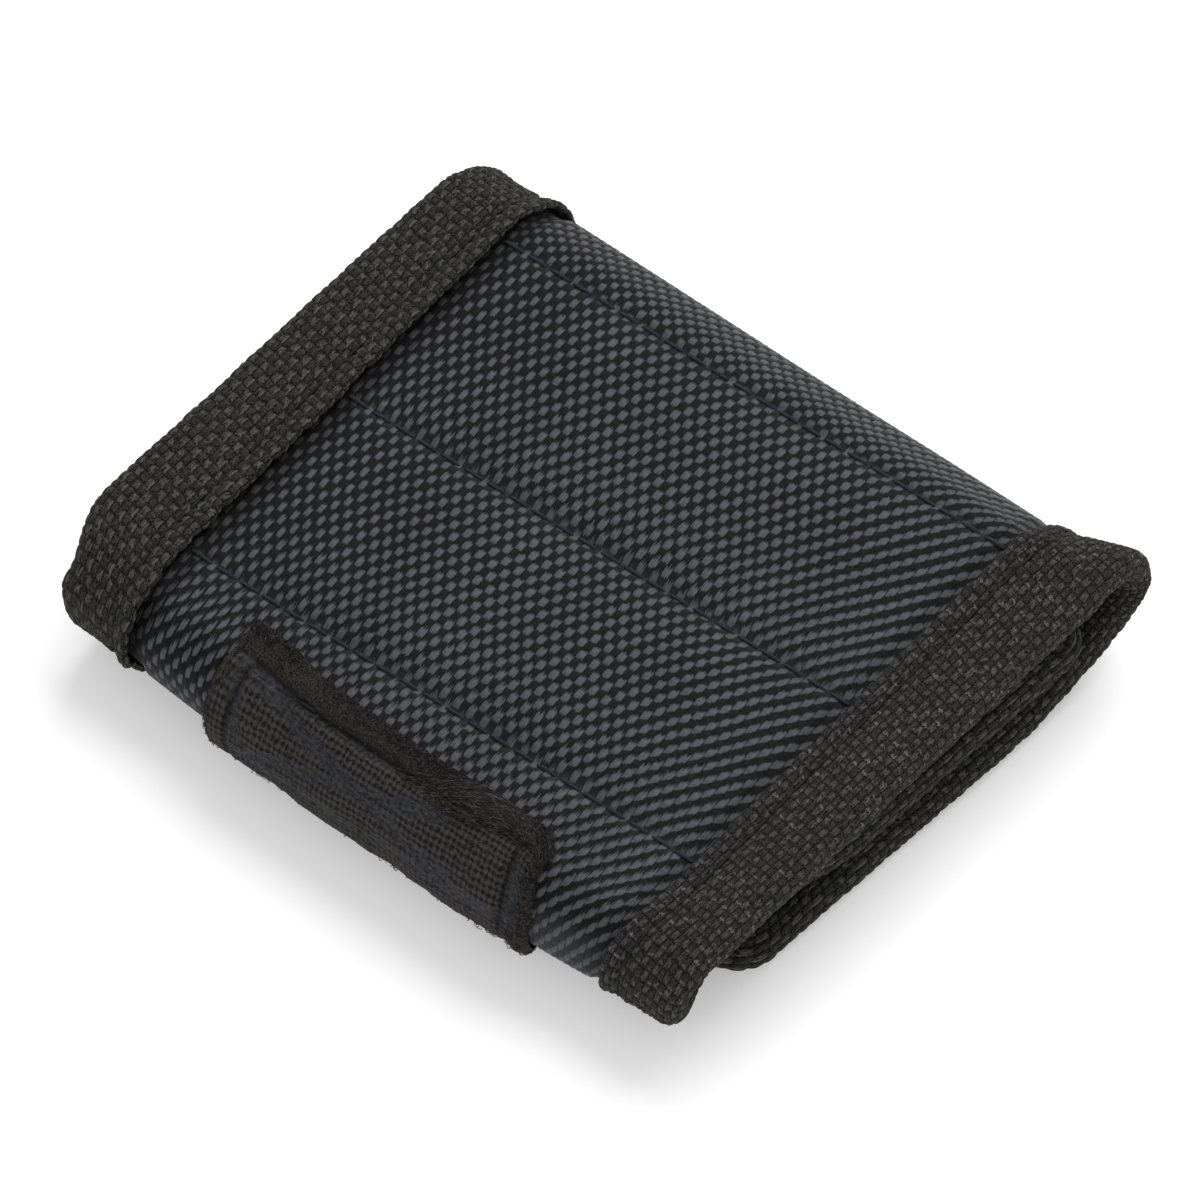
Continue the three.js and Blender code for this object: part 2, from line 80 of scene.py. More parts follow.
# Edge binding
BINDING_REACH = 10.5
BINDING_THICKNESS = 0.6
BINDING_PROUD = 0.35
BINDING_INNER_CORNER = 1.5
BINDING_SLOPE = 1.5
BINDING_SEAM_INSET = 2.5
LIP_RADIUS = 0.35
LIP_START = 3.2  # where a raised lip starts to rise, from the lip
LIP_TUCK = 1.6  # how far a lip is turned under, and how steeply it comes back
LIP_TUCK_SLOPE = 0.25
LIP_FRAY = 0.16
LIP_FRAY_WIDTH = (1.4, 0.2)
RIGHT_LIP = 0.5  # how far each lip stands above the fabric
LEFT_LIP = 1.1
STITCH_DIP = 0.3  # the groove that the stitches pull into the tape
STITCH_DIP_WIDTH = 0.6
SECTION_STEP = 0.04

# Hook and loop
HOOK_THICKNESS = 1.3
HOOK_BASE = 0.6
LOOP_THICKNESS = 2
PATCH_WIDTH = 45
HOOK_SETBACK = 4.6
PATCH_MARGIN = 1.5
LOOP_START = 2
PATCH_SEAM_INSET = 3.5
PATCH_GROOVE = 0.7
PATCH_GROOVE_WIDTH = 0.6
SIDE_GROOVE = 0.3
SIDE_GROOVE_WIDTH = 0.4
PATCH_ROUND = 1.1
PATCH_EDGE = 0.25  # the share of its height that a patch has at its edge
BENT_FLAT = 0.25  # how much of its height the loop patch loses round the fold
LOOP_STEP = 0.2
HOOK_STEP = 0.4
SHOULDER = 4.1

# Magnets and seams
POCKET_SETBACK = 2.9
SHOULDER_SETBACK = 7.5
FLAP_SEAM_SETBACK = 0.6
MAGNET_SEAM_ROOM = 8.3
MAGNET_RIB = 3.4
MAGNETS_PER_POCKET = 3
MAGNET_CLEARANCE = 0.3
PAD_INSET = 1.2
PAD_STEP = 1.1
PAD_ROUND = 0.45
PAD_CROWN = 0.6  # how much of the fabric's crown the pad below it takes
STITCH_LENGTH = 3.2
STITCH_GAP = 0.35
STITCH_RISE = 0.12
STITCH_END_DIP = 0.3
STITCH_END_RADIUS = 0.55
THREAD_RADIUS = 0.2
THREAD_SIDES = 8
THREAD_PLIES = 3
THREAD_TWIST = 5.0
PLY_SWELL = 0.16
SEAM_GROOVE = 0.35
SEAM_GROOVE_WIDTH = 0.75
# Painted shade on the fabric beside the binding lips: how dark on the left and the right, and how wide
LEFT_LIP_SHADE = 0.9
RIGHT_LIP_SHADE = 0.5
LIP_SHADE_WIDTH = 2.2

# Weaves: the distance between neighbouring yarns, and how far they stand up
COVER_PITCH_ALONG = 1.31
COVER_PITCH_ACROSS = 0.94
COVER_LEAN_ALONG = 0.084  # how far the yarns lean, as the cloth is a little sheared
COVER_LEAN_ACROSS = 0.066
COVER_RELIEF = 0.16
COVER_ROW_STEP = 0.24
COVER_COLUMN_STEP = 0.19
COVER_HALF = 42
COVER_FINE_OVERLAP = 1.2
BOUND_FLAT = 0.6  # how much of its relief the fabric loses inside the binding
TAPE_PITCH_ALONG = 1.31
TAPE_PITCH_GIRTH = 0.84
TAPE_LEAN = -0.13  # how far a cross yarn leans from one row to the next
TAPE_RELIEF = 0.3
TAPE_LUMPS = 0.1
TAPE_SAMPLES = 5
YARN_SWAY = 0.6
YARN_ROUND = 0.4
YARN_WANDER = 0.14
LINING_STEP = 0.6
LINING_WAVE = 0.08
END_MARGIN = 3

# How the floats of the outer fabric and their painted sheen change over the strip
SHEEN_PAST_SEAMS = 1.2  # how far the painted sheen spreads along the floats, fraying their ends, past the last seam, against 1 at the end of a pocket
SHEEN_CUT_ON_FOLD = 0.3  # how much cleaner than plain the floats' painted sheen is where the fabric turns down
LEANING = 0.75  # how far the floats lean into ropes near the right binding
LEANING_ELSEWHERE = 0.15
ROPES_FROM = -10
ROPES_FULL = -31
SEAM_GREY = 0.7
SEAM_GREY_WIDTH = 0.8
THINNED = 0.12  # how much of a row the floats give up near the left binding
THIN_FROM = 6
THIN_FULL = 30

# A brushed-out lock of fibres near the loop patch's right end, and the fuzz all over it
LOCK_MIDDLE = -13.5
LOCK_HALF = 6
LOCK_SWELL = 0.8
LOCK_SWELL_PLACE = 1.7
LOCK_SWELL_WIDTH = 1.4
LOCK_COUNT = 520
FUZZ_COUNT = 4200
FUZZ_ON_RIM = 0.7
FUZZ_SPREAD = 1.1
FUZZ_JITTER = 0.12
FUZZ_MARGIN = 0.3
LOCK_FIBRE = 0.04
FUZZ_FIBRE = 0.035
FIBRE_SIDES = 4
FIBRE_SHIFT = 20  # sets the fibres' noise apart from each other
FIBRE_SHARE = 0.618

# The loop patch's own outline, and where its loops are matted by the seams inside it: ends of each line as
# (from the patch's start, across)
EDGE_LAG = 1.0  # how much later the patch starts near its right end, and sooner at its left one
EDGE_LEAD = 1.9
CORNER_LAG = 2.4
CORNER_REACH = 3
FLARE = 0.08  # how much wider the patch's right end lies at the bottom of the fold
MATTED_WIDTH = 0.6
MATTED_LINES = [
    ((3.7, -7), (3.3, 20)),
    ((5.3, -10), (7.6, 1.5)),
    ((7.6, 1.5), (3.6, 19)),
    ((7.6, 1.5), (10.4, 15.5)),
    ((7.6, 1.5), (10.6, -11.5)),
    ((11.4, -20), (11.4, 18)),
    ((4.2, 20), (9.6, 17)),
    ((5.5, -19.5), (11, -20.5)),
]

# Hooks
HOOK_PITCH_ALONG = 1.3
HOOK_PITCH_ACROSS = 1.5
HOOK_JITTER = 0.12
HOOK_LEAN = 0.35
HOOK_STEM = 0.5
HOOK_BOW = 0.24
HOOK_OUT = 0.26
HOOK_DROP = 0.22
HOOK_RADIUS = 0.09
HOOK_TURN = 1.35 * math.pi

# How the cloth lies a little out of true: angles, and how far its edges lift, sink and draw in
FOLD_SKEW = math.tan(math.radians(2.5))  # the left fold's line against the seams
PLAN_SKEW = math.tan(math.radians(2.4))  # the flap and the tongue against the top panel
PLAN_PIVOT = 33
FAR_TUCK = 0.4  # how much sooner still the fold's far end turns
TUCK_FROM = 14
FLAP_SHIFT = 0.9
NEAR_SINK = 2.9  # how far the right fold is pressed in, near and far
FAR_SINK = 1.5
SINK_DIRECTION = (-0.83, -0.55)
CURL_LIFT = 3.2  # how far the flap's near edge curls up at the right fold
EDGE_DROP = 2.3  # how far the top panel's near edge falls at the right fold, and rises at the left one
EDGE_RISE = 1.8
FAR_LIFT = 2.2  # how far the top panel's far edge rises and spreads towards the left fold
FAR_SPREAD = 1.7
NEAR_PINCH = 3.7  # how far the near and the far edge are drawn in below the left fold
FAR_PINCH = 1.5
PINCH_FROM = 8
SHOULDER_DRAW = 1.2  # how far the far edge is drawn in at the left fold's shoulder
NEAR_TUCK = 2.0  # how far the ends of the left fold are pushed back along the strip
FAR_PUSH = 1.6
PUSH_FROM = 20
END_REACH = 0.9  # how much further the flap's end lies
END_REACH_FROM = 25
NEAR_EDGE_FROM = -33
FAR_EDGE_FROM = 30
WAVE = 0.25
WAVE_ALONG = 17
WAVE_ACROSS = 23

NOISE_SIDE = 64
SEEDS = {
    "wave": 3, "yarn_along": 11, "yarn_across": 12, "lining": 21, "tape_along": 31, "tape_girth": 32,
    "tape_lumps": 33, "lip": 34, "matting": 41, "wear": 42, "nap": 43, "fine_nap": 44, "patch_lumps": 45,
    "fuzz": 51, "lock": 53, "hook_base": 61, "hooks": 62,
}

# Worked out from the sizes above
half_width = BAND_WIDTH / 2
half_patch = PATCH_WIDTH / 2
panel = FABRIC_THICKNESS + PADDING_THICKNESS + LINING_THICKNESS + 2 * PLY_GAP
tongue_height = panel + HOOK_THICKNESS + LAYER_GAP + LOOP_THICKNESS + 2 * PLY_GAP
shoulder_height = tongue_height + 2 * panel + 2 * BINDING_PROUD + LAYER_GAP
left_radius = LEFT_FOLD_INNER_RADIUS + panel
slope_sin = math.sin(TOP_SLOPE)
slope_cos = math.cos(TOP_SLOPE)
top_run = ROLLED_LENGTH - left_radius * (1 - slope_sin)
fall_per_run = slope_sin / slope_cos
right_rise = 1 + slope_cos + fall_per_run * (1 + slope_sin)
right_radius = (shoulder_height + fall_per_run * top_run) / right_rise
right_turn = math.pi + TOP_SLOPE
ramp_rise = tongue_height - shoulder_height + left_radius * (1 + slope_cos)
ramp_angle = math.acos(1 - ramp_rise / (left_radius + RAMP_RADIUS))
ramp_run = (left_radius + RAMP_RADIUS) * math.sin(ramp_angle)
flap_length = ROLLED_LENGTH - FLAP_SETBACK - right_radius
top_length = (top_run - right_radius * (1 + slope_sin)) / slope_cos
left_turn = math.pi + ramp_angle - TOP_SLOPE
tongue_length = ROLLED_LENGTH - TONGUE_SETBACK - left_radius - ramp_run
cover_edge_depth = BINDING_THICKNESS + PLY_GAP - BINDING_PROUD
drawn_in = BINDING_REACH + BINDING_INNER_CORNER / 2
lip_across = half_width - BINDING_REACH
pad_margin = drawn_in + BINDING_SLOPE + PLY_GAP

# The outer face as a path of straight and round stretches: lengths, turns and where each one starts
lengths = np.array([
    flap_length, right_turn * right_radius, top_length, left_turn * left_radius, ramp_angle * RAMP_RADIUS,
    tongue_length,
])
turns = np.array([0, right_turn, 0, left_turn, -ramp_angle, 0])
bends = turns / lengths
marks = np.concatenate([[0], np.cumsum(lengths)])
right_fold_start, top_start, left_fold_start, ramp_start, tongue_start, strip_end = marks[1:]


def follow(x, z, heading, bend, run):
    """The place and heading after a run along a stretch of constant bend."""
    half = bend * run / 2
    chord = run * np.sinc(half / np.pi)
    return x + chord * np.cos(heading + half), z + chord * np.sin(heading + half), heading + 2 * half


starts = [(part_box("flap_binding")[0][0] / MM, BINDING_PROUD, 0.0)]
for stretch_bend, stretch_length in zip(bends, lengths):
    starts.append(follow(*starts[-1], stretch_bend, stretch_length))
starts = np.array(starts)

# Places along the strip
fold_middle = right_fold_start + lengths[1] / 2
left_outermost = left_fold_start + (math.pi / 2 - TOP_SLOPE) * left_radius
flex_shoulder = left_fold_start - SHOULDER
pocket_pitch = (top_length - POCKET_SETBACK - SHOULDER_SETBACK) / 2
pocket_seams = top_start + POCKET_SETBACK + pocket_pitch * np.arange(3)
flap_seams = right_fold_start - FLAP_SEAM_SETBACK - pocket_pitch * np.array([1, 0])
hook_from = BINDING_REACH + PATCH_MARGIN
hook_to = right_fold_start - HOOK_SETBACK
loop_from = flex_shoulder + LOOP_START
loop_to = strip_end - BINDING_REACH - PATCH_MARGIN

# Stretches where the cloth departs from the true roll: nothing, then full from the second place to the third
fold_skewed = (pocket_seams[1], pocket_seams[2], tongue_start, strip_end)
edges_pinched = (left_fold_start - 6, ramp_start, ramp_start + 2, tongue_start + 18)
shoulder_drawn = (left_fold_start - 8, left_fold_start, left_fold_start + 1, left_outermost - 4)
fold_pressed = (fold_middle - 7, fold_middle + 4, top_start - 6, pocket_seams[0])
flap_curled = (44, 60, 61, fold_middle + 3)
edge_tilted = (fold_middle + 2, pocket_seams[0], pocket_seams[2], left_outermost)
floats_leaning = (142, 146, 151, 155)


def smooth(low, high, value):
    """0 below low, 1 above high and a smooth step between them."""
    share = np.clip((value - low) / (high - low), 0, 1)
    return share * share * (3 - 2 * share)


def between(first, second, third, fourth, value):
    """1 between the second and the third place, falling smoothly to 0 at the first and the fourth."""
    return smooth(first, second, value) * (1 - smooth(third, fourth, value))


def bell(value, width):
    """1 at zero, falling to nothing on both sides."""
    return np.exp(-((value / width) ** 2))


def rounded(to_edge, radius):
    """0 at an edge and 1 from a radius inwards, as a quarter round."""
    return np.sqrt(np.clip(1 - (1 - np.clip(to_edge / radius, 0, 1)) ** 2, 0, 1))


def noise(u, v, seed):
    """Smooth noise from -1 to 1 with one bump per unit, the same on every run."""
    table = np.random.default_rng(SEEDS[seed]).uniform(-1, 1, (NOISE_SIDE, NOISE_SIDE))
    column = np.floor(u).astype(int)
    row = np.floor(v).astype(int)
    across = smooth(0, 1, u - column)
    up = smooth(0, 1, v - row)

    def corner(i, j):
        return table[(column + i) % NOISE_SIDE, (row + j) % NOISE_SIDE]

    low = corner(0, 0) * (1 - across) + corner(1, 0) * across
    high = corner(0, 1) * (1 - across) + corner(1, 1) * across
    return low * (1 - up) + high * up


def fold_offset(along, across):
    """How much later the left fold starts on the near side of the strip."""
    skew = FOLD_SKEW * across + FAR_TUCK * smooth(TUCK_FROM, half_width, across)
    return -skew * between(*fold_skewed, along)


def soft_shift(along, across, x):
    """How far a point of the strip lies from the true roll, in X, Y and Z."""
    near_edge = smooth(NEAR_EDGE_FROM, -half_width, across)
    far_edge = smooth(FAR_EDGE_FROM, half_width, across)
    near_side = smooth(-PUSH_FROM, -half_width, across)
    far_side = smooth(PUSH_FROM, half_width, across)
    far = (across / half_width + 1) / 2
    on_flap = 1 - smooth(right_fold_start, top_start, along)
    on_tongue = smooth(left_outermost + 3, tongue_start, along)
    below_fold = between(*edges_pinched, along)
    to_shoulder = np.clip((along - top_start) / top_length, 0, 1)
    to_shoulder = to_shoulder * (1 - smooth(left_fold_start - 6, left_outermost - 1, along))
    pinch = NEAR_PINCH * smooth(-PINCH_FROM, -half_width, across)
    pinch = pinch - FAR_PINCH * smooth(PINCH_FROM, half_width, across)
    sideways = PLAN_SKEW * (PLAN_PIVOT - x) * (on_flap + on_tongue) + FLAP_SHIFT * on_flap
    sideways = sideways + below_fold * pinch
    drawn = SHOULDER_DRAW * between(*shoulder_drawn, along)
    sideways = sideways + far_edge * (FAR_SPREAD * to_shoulder - drawn)
    sink = (NEAR_SINK + (FAR_SINK - NEAR_SINK) * far) * (1 - near_edge) * between(*fold_pressed, along)
    curl = CURL_LIFT * near_side * between(*flap_curled, along)
    tilt = EDGE_RISE * (along - pocket_seams[0]) - EDGE_DROP * (pocket_seams[2] - along)
    tilt = tilt / (pocket_seams[2] - pocket_seams[0])
    lift = near_edge * tilt * between(*edge_tilted, along) + FAR_LIFT * far_edge * to_shoulder
    wave = WAVE * noise(along / WAVE_ALONG, across / WAVE_ACROSS, "wave") * (1 - on_flap) * (1 - on_tongue)
    pushed = below_fold * (NEAR_TUCK * near_side + FAR_PUSH * far_side)
    pushed = pushed - END_REACH * smooth(END_REACH_FROM, 0, along)
    shift_x = SINK_DIRECTION[0] * sink + pushed
    shift_z = SINK_DIRECTION[1] * sink + curl + lift + wave
    return np.stack([shift_x, sideways, shift_z], -1)


def strip_points(along, across, depth):
    """Points of the strip in millimetres, from places along it, across it and depths below its outer face."""
    along, across, depth = np.broadcast_arrays(along, across, depth)
    later = fold_offset(along, across)
    path = along - later
    stretch = np.clip(np.searchsorted(marks, path, side="right") - 1, 0, len(lengths) - 1)
    start = starts[stretch]
    x, z, heading = follow(start[..., 0], start[..., 1], start[..., 2], bends[stretch], path - marks[stretch])
    x = x - later * slope_cos - depth * np.sin(heading)
    z = z - later * slope_sin + depth * np.cos(heading)
    return np.stack([x, across, z], -1) + soft_shift(along, across, x)


def outward(along, across):
    """The direction away from the outer face."""
    away = strip_points(along, across, -1.0) - strip_points(along, across, 0.0)
    return away / np.linalg.norm(away, axis=-1, keepdims=True)


def spot(along, depth=0.0):
    """A point of the true roll in metres, for a blend's ends."""
    x, _, z = strip_points(np.array(along), np.array(0.0), np.array(depth))
    return np.array([x, 0, z]) * MM


# Mesh making


def make_piece(name, points, face_groups, material, uv=None, shares=None):
    """A new object from points in millimetres and arrays of faces, smooth-shaded."""
    points = np.ascontiguousarray(np.reshape(points, (-1, 3))) * MM
    corners = np.concatenate([np.ravel(faces) for faces in face_groups])
    sizes = np.concatenate([np.full(len(faces), faces.shape[1]) for faces in face_groups])
    loop_starts = np.concatenate([[0], np.cumsum(sizes)[:-1]])
    mesh = bpy.data.meshes.new(name)
    mesh.vertices.add(len(points))
    mesh.vertices.foreach_set("co", points.ravel())
    mesh.loops.add(len(corners))
    mesh.loops.foreach_set("vertex_index", corners)
    mesh.polygons.add(len(sizes))
    mesh.polygons.foreach_set("loop_start", loop_starts)
    mesh.polygons.foreach_set("use_smooth", np.ones(len(sizes), bool))
    if uv is not None:
        layer = mesh.uv_layers.new(name="Strip")
        layer.uv.foreach_set("vector", (np.reshape(uv, (-1, 2))[corners] * PERCENT).ravel())
    for share_name, values in (shares or {}).items():
        share = mesh.attributes.new(share_name, "FLOAT", "POINT")
        share.data.foreach_set("value", np.ravel(values))
    mesh.update(calc_edges=True)
    mesh.validate()
    mesh.materials.append(material)
    piece = bpy.data.objects.new(name, mesh)
    bpy.context.scene.collection.objects.link(piece)
    return piece


def grid_cells(index):
    """The four corners of each cell of a grid of point numbers."""
    return np.stack([index[:-1, :-1], index[1:, :-1], index[1:, 1:], index[:-1, 1:]], -1)


def grid_faces(rows, columns, flip=False):
    """Quads over a grid of points."""
    quads = grid_cells(np.arange(rows * columns).reshape(rows, columns)).reshape(-1, 4)
    return quads[:, ::-1] if flip else quads


def make_tubes(name, lines, ups, radius, material, sides, plies=0, twist=0):
    """Closed tubes along many lines at once. Plies and twist give a thread its lay."""
    tangent = np.gradient(lines, axis=1)
    tangent /= np.linalg.norm(tangent, axis=-1, keepdims=True)
    sideways = np.cross(tangent, ups)
    sideways /= np.linalg.norm(sideways, axis=-1, keepdims=True)
    lift = np.cross(sideways, tangent)
    count, places, _ = lines.shape
    turn = TURN * np.arange(sides) / sides
    steps = np.linalg.norm(np.diff(lines, axis=1, prepend=lines[:, :1]), axis=-1)
    travelled = np.cumsum(steps, axis=1)[..., None]
    swell = 1 + PLY_SWELL * np.cos(plies * (turn - twist * travelled)) if plies else np.ones(sides)
    reach = (np.broadcast_to(radius, (count, places))[..., None] * swell)[..., None]
    around = np.cos(turn)[:, None] * sideways[:, :, None] + np.sin(turn)[:, None] * lift[:, :, None]
    points = lines[:, :, None] + reach * around
    index = np.arange(count * places * sides).reshape(count, places, sides)
    after = np.roll(index, -1, axis=2)
    walls = np.stack([index[:, :-1], after[:, :-1], after[:, 1:], index[:, 1:]], -1).reshape(-1, 4)
    caps = np.concatenate([index[:, 0, ::-1], index[:, -1]])
    own_start = FIBRE_SHIFT * np.modf(FIBRE_SHARE * np.arange(count))[0]
    uv = np.stack(np.broadcast_arrays(own_start[:, None, None] + travelled, turn / TURN), -1)
    return make_piece(name, points, [walls, caps], material, uv)


# Node graphs for the finishes


class Value:
    """One output of a material's nodes. Arithmetic with it adds math nodes."""

    def __init__(self, finish, socket):
        self.finish = finish
        self.socket = socket

    def __add__(self, other):
        return self.finish.math("ADD", self, other)

    def __sub__(self, other):
        return self.finish.math("SUBTRACT", self, other)

    def __rsub__(self, other):
        return self.finish.math("SUBTRACT", other, self)

    def __mul__(self, other):
        return self.finish.math("MULTIPLY", self, other)


class Finish:
    """A material's nodes, with short calls for what the finishes use."""

    def __init__(self, name, roughness=0.7, specular=0.3, sheen=0.0, metallic=0.0):
        self.material = bpy.data.materials.new(name)
        self.material.use_nodes = True
        self.tree = self.material.node_tree
        self.shader = self.tree.nodes["Principled BSDF"].inputs
        self.shader["Roughness"].default_value = roughness
        self.shader["Specular IOR Level"].default_value = specular
        self.shader["Sheen Weight"].default_value = sheen
        self.shader["Metallic"].default_value = metallic

    def put(self, socket, value):
        """A link where the value is another node's output, and a constant otherwise."""
        if isinstance(value, Value):
            self.tree.links.new(value.socket, socket)
        else:
            socket.default_value = value

    def add(self, kind, output, values, **settings):
        """A new node with values for its first inputs, and one of its outputs."""
        made = self.tree.nodes.new("ShaderNode" + kind)
        for key, setting in settings.items():
            setattr(made, key, setting)
        for socket, value in zip(made.inputs, values):
            self.put(socket, value)
        return Value(self, made.outputs[output])

    def node(self, kind, output=0, **inputs):
        """One output of a new node whose inputs are given by name."""
        made = self.tree.nodes.new("ShaderNode" + kind)
        for key, value in inputs.items():
            self.put(made.inputs[key], value)
        return Value(self, made.outputs[output])

    def math(self, operation, *values):
        return self.add("Math", 0, values, operation=operation)

    def step(self, value, low, high, from_value=0.0, to_value=1.0):
        """A smooth step of a value."""
        values = (value, low, high, from_value, to_value)
        return self.add("MapRange", 0, values, interpolation_type="SMOOTHSTEP")

    def attribute(self, name):
        """A value that the mesh holds at each of its points."""
        return self.add("Attribute", 2, (), attribute_name=name)

    def floor(self, value):
        return self.math("FLOOR", value)

    def apart(self, first, second):
        """The distance between two values."""
        return self.math("ABSOLUTE", self.math("SUBTRACT", first, second))

    def wave(self, value, pitch):
        """A sine wave with one crest per pitch."""
        return self.math("SINE", value * (TURN / pitch))

    def vector(self, x, y):
        return self.node("CombineXYZ", X=x, Y=y)

    def noise(self, vector, scale, detail):
        return self.node("TexNoise", Vector=vector, Scale=scale, Detail=detail)

    def grain(self, u, v, scale, detail):
        """Noise over the strip's own coordinates."""
        return self.noise(self.vector(u, v), scale, detail)

    def mix(self, share, first, second, blend="MIX"):
        made = self.tree.nodes.new("ShaderNodeMix")
        made.data_type = "RGBA"
        made.blend_type = blend
        self.put(made.inputs["Factor"], share)
        self.put(made.inputs[6], first)
        self.put(made.inputs[7], second)
        return Value(self, made.outputs[2])

    def shaded(self, colour_in, shade):
        """A colour made darker by a shade from 0 to 1."""
        grey = self.node("CombineColor", Red=shade, Green=shade, Blue=shade)
        return self.mix(1.0, colour_in, grey, "MULTIPLY")

    def split(self, vector):
        """The first two parts of a vector."""
        parts = self.tree.nodes.new("ShaderNodeSeparateXYZ")
        self.put(parts.inputs[0], vector)
        return Value(self, parts.outputs[0]), Value(self, parts.outputs[1])

    def places(self):
        """The strip's own coordinates, in the units that the piece was laid out in."""
        uv = self.add("UVMap", 0, (), uv_map="Strip")
        spread = self.tree.nodes.new("ShaderNodeVectorMath")
        spread.operation = "SCALE"
        spread.inputs["Scale"].default_value = 1 / PERCENT
        self.put(spread.inputs[0], uv)
        return self.split(Value(self, spread.outputs[0]))

    def solid_places(self):
        """The piece's own coordinates in metres."""
        return self.node("TexCoord", 3)

    def bump(self, height, distance, strength):
        """A bump in millimetres of height."""
        return self.node("Bump", Height=height, Distance=distance * MM, Strength=strength)

    def finish(self, colour_in, roughness=None, normal=None):
        self.put(self.shader["Base Color"], colour_in)
        if roughness is not None:
            self.put(self.shader["Roughness"], roughness)
        if normal is not None:
            self.put(self.shader["Normal"], normal)
        return self.material


def colour(red, green, blue):
    """A display colour of 0 to 255 as a linear one."""
    def linear(channel):
        value = channel / 255
        return value / 12.92 if value <= 0.04045 else ((value + 0.055) / 1.055) ** 2.4
    return (linear(red), linear(green), linear(blue), 1.0)


def weave_relief(u, v):
    """The height of a plain weave, 0 to 1, with one yarn per unit of u and v."""
    column = np.floor(u)
    row = np.floor(v)
    first = YARN_SWAY * np.cos(np.pi * (u - 0.5)) * np.cos(np.pi * row)
    second = -YARN_SWAY * np.cos(np.pi * (v - 0.5)) * np.cos(np.pi * column)
    first = first + YARN_ROUND * np.sqrt(np.clip(1 - (2 * (v - row) - 1) ** 2, 0, 1))
    second = second + YARN_ROUND * np.sqrt(np.clip(1 - (2 * (u - column) - 1) ** 2, 0, 1))
    return np.maximum(first, second)


FILAMENTS = 8.0  # in one yarn
FLOAT_REACH = 0.43  # half of what shows of a float, in its own length
FLOAT_ROUND = -0.35
PIERCED_LINE = 5.8  # yarns from the tape's start to its row of needle holes
PIERCED_PITCH = 1.65
LINING_RIB = 0.9
LINING_LOOP = 0.6
LOOP_ROW = 0.72
LOOP_COLUMN = 0.68
HOOK_RIB = 0.8


def cover_finish():
    """Coarse plain-woven black nylon: a painted bluish sheen on the floats along the strip, frayed at their
    ends, over black ones.
    """
    made = Finish("coarse_nylon", roughness=0.5, sheen=0.04)
    u, v = made.places()
    spread = made.attribute("spread")
    row = made.floor(v)
    count = (u + row) * 0.5 + 0.25
    number = made.floor(count)
    own = number * 5.3 + row * 2.7
    off = v - row - 0.5
    place = (count - number) * 2.0 - 1.0 - off * made.attribute("lean")
    off = made.math("ABSOLUTE", off)

    def reach(shift, spread_share, ragged, more_ragged):
        """How far each filament's painted sheen shows from the middle of its float."""
        tooth = made.grain(own + shift, v * FILAMENTS, 1.0, 1.0) - 0.5
        length = spread * spread_share + FLOAT_REACH
        return tooth * (spread * more_ragged + ragged) + length + off * off * FLOAT_ROUND

    behind = made.step(place + reach(0.0, 0.12, 0.8, 1.2), -0.16, 0.1)
    ahead = made.step(reach(40.0, 0.0, 0.5, 0.1) - place, -0.14, 0.08)
    over = behind * ahead * made.step(off + made.attribute("thin"), 0.56, 0.38)
    streaks = made.grain(u * 1.5, v * 9.0, 1.0, 3.0)
    crossing = made.grain(u * 14.0, v * 1.6, 1.0, 3.0)
    patches = made.grain(u, v, 0.1, 2.0)
    # the floats along the strip carry a painted sheen, brightest in their middle and greyer towards their
    # ends
    painted_sheen = made.mix(made.step(streaks, 0.3, 0.7), colour(48, 49, 52), colour(75, 76, 81))
    painted_sheen = made.mix(made.step(place, 0.0, -0.9, 0.0, 0.6), painted_sheen, colour(40, 41, 43))
    dark = made.mix(made.step(crossing, 0.3, 0.75), colour(8, 8, 9), colour(24, 24, 26))
    # black yarns greyer beside the seams, and with a painted sheen where the fabric turns down
    dark = made.mix(made.attribute("fold_sheen_seam_grey"), dark, colour(42, 42, 45))
    shade = made.step(patches, 0.25, 0.75, 0.88, 1.08) * made.step(off, 0.5, 0.36, 0.75, 1.0)
    # painted shade on the fabric beside the binding lips
    shade = shade * (1.0 - made.attribute("lip_shade"))
    tinted = made.shaded(made.mix(over, dark, painted_sheen), shade)
    made.put(made.shader["Specular IOR Level"], made.step(over, 0.0, 1.0, 0.06, 0.26))
    relief = over * 0.35 + streaks * 0.6
    return made.finish(tinted, made.step(streaks, 0.2, 0.8, 0.42, 0.62), made.bump(relief, 0.12, 0.8))


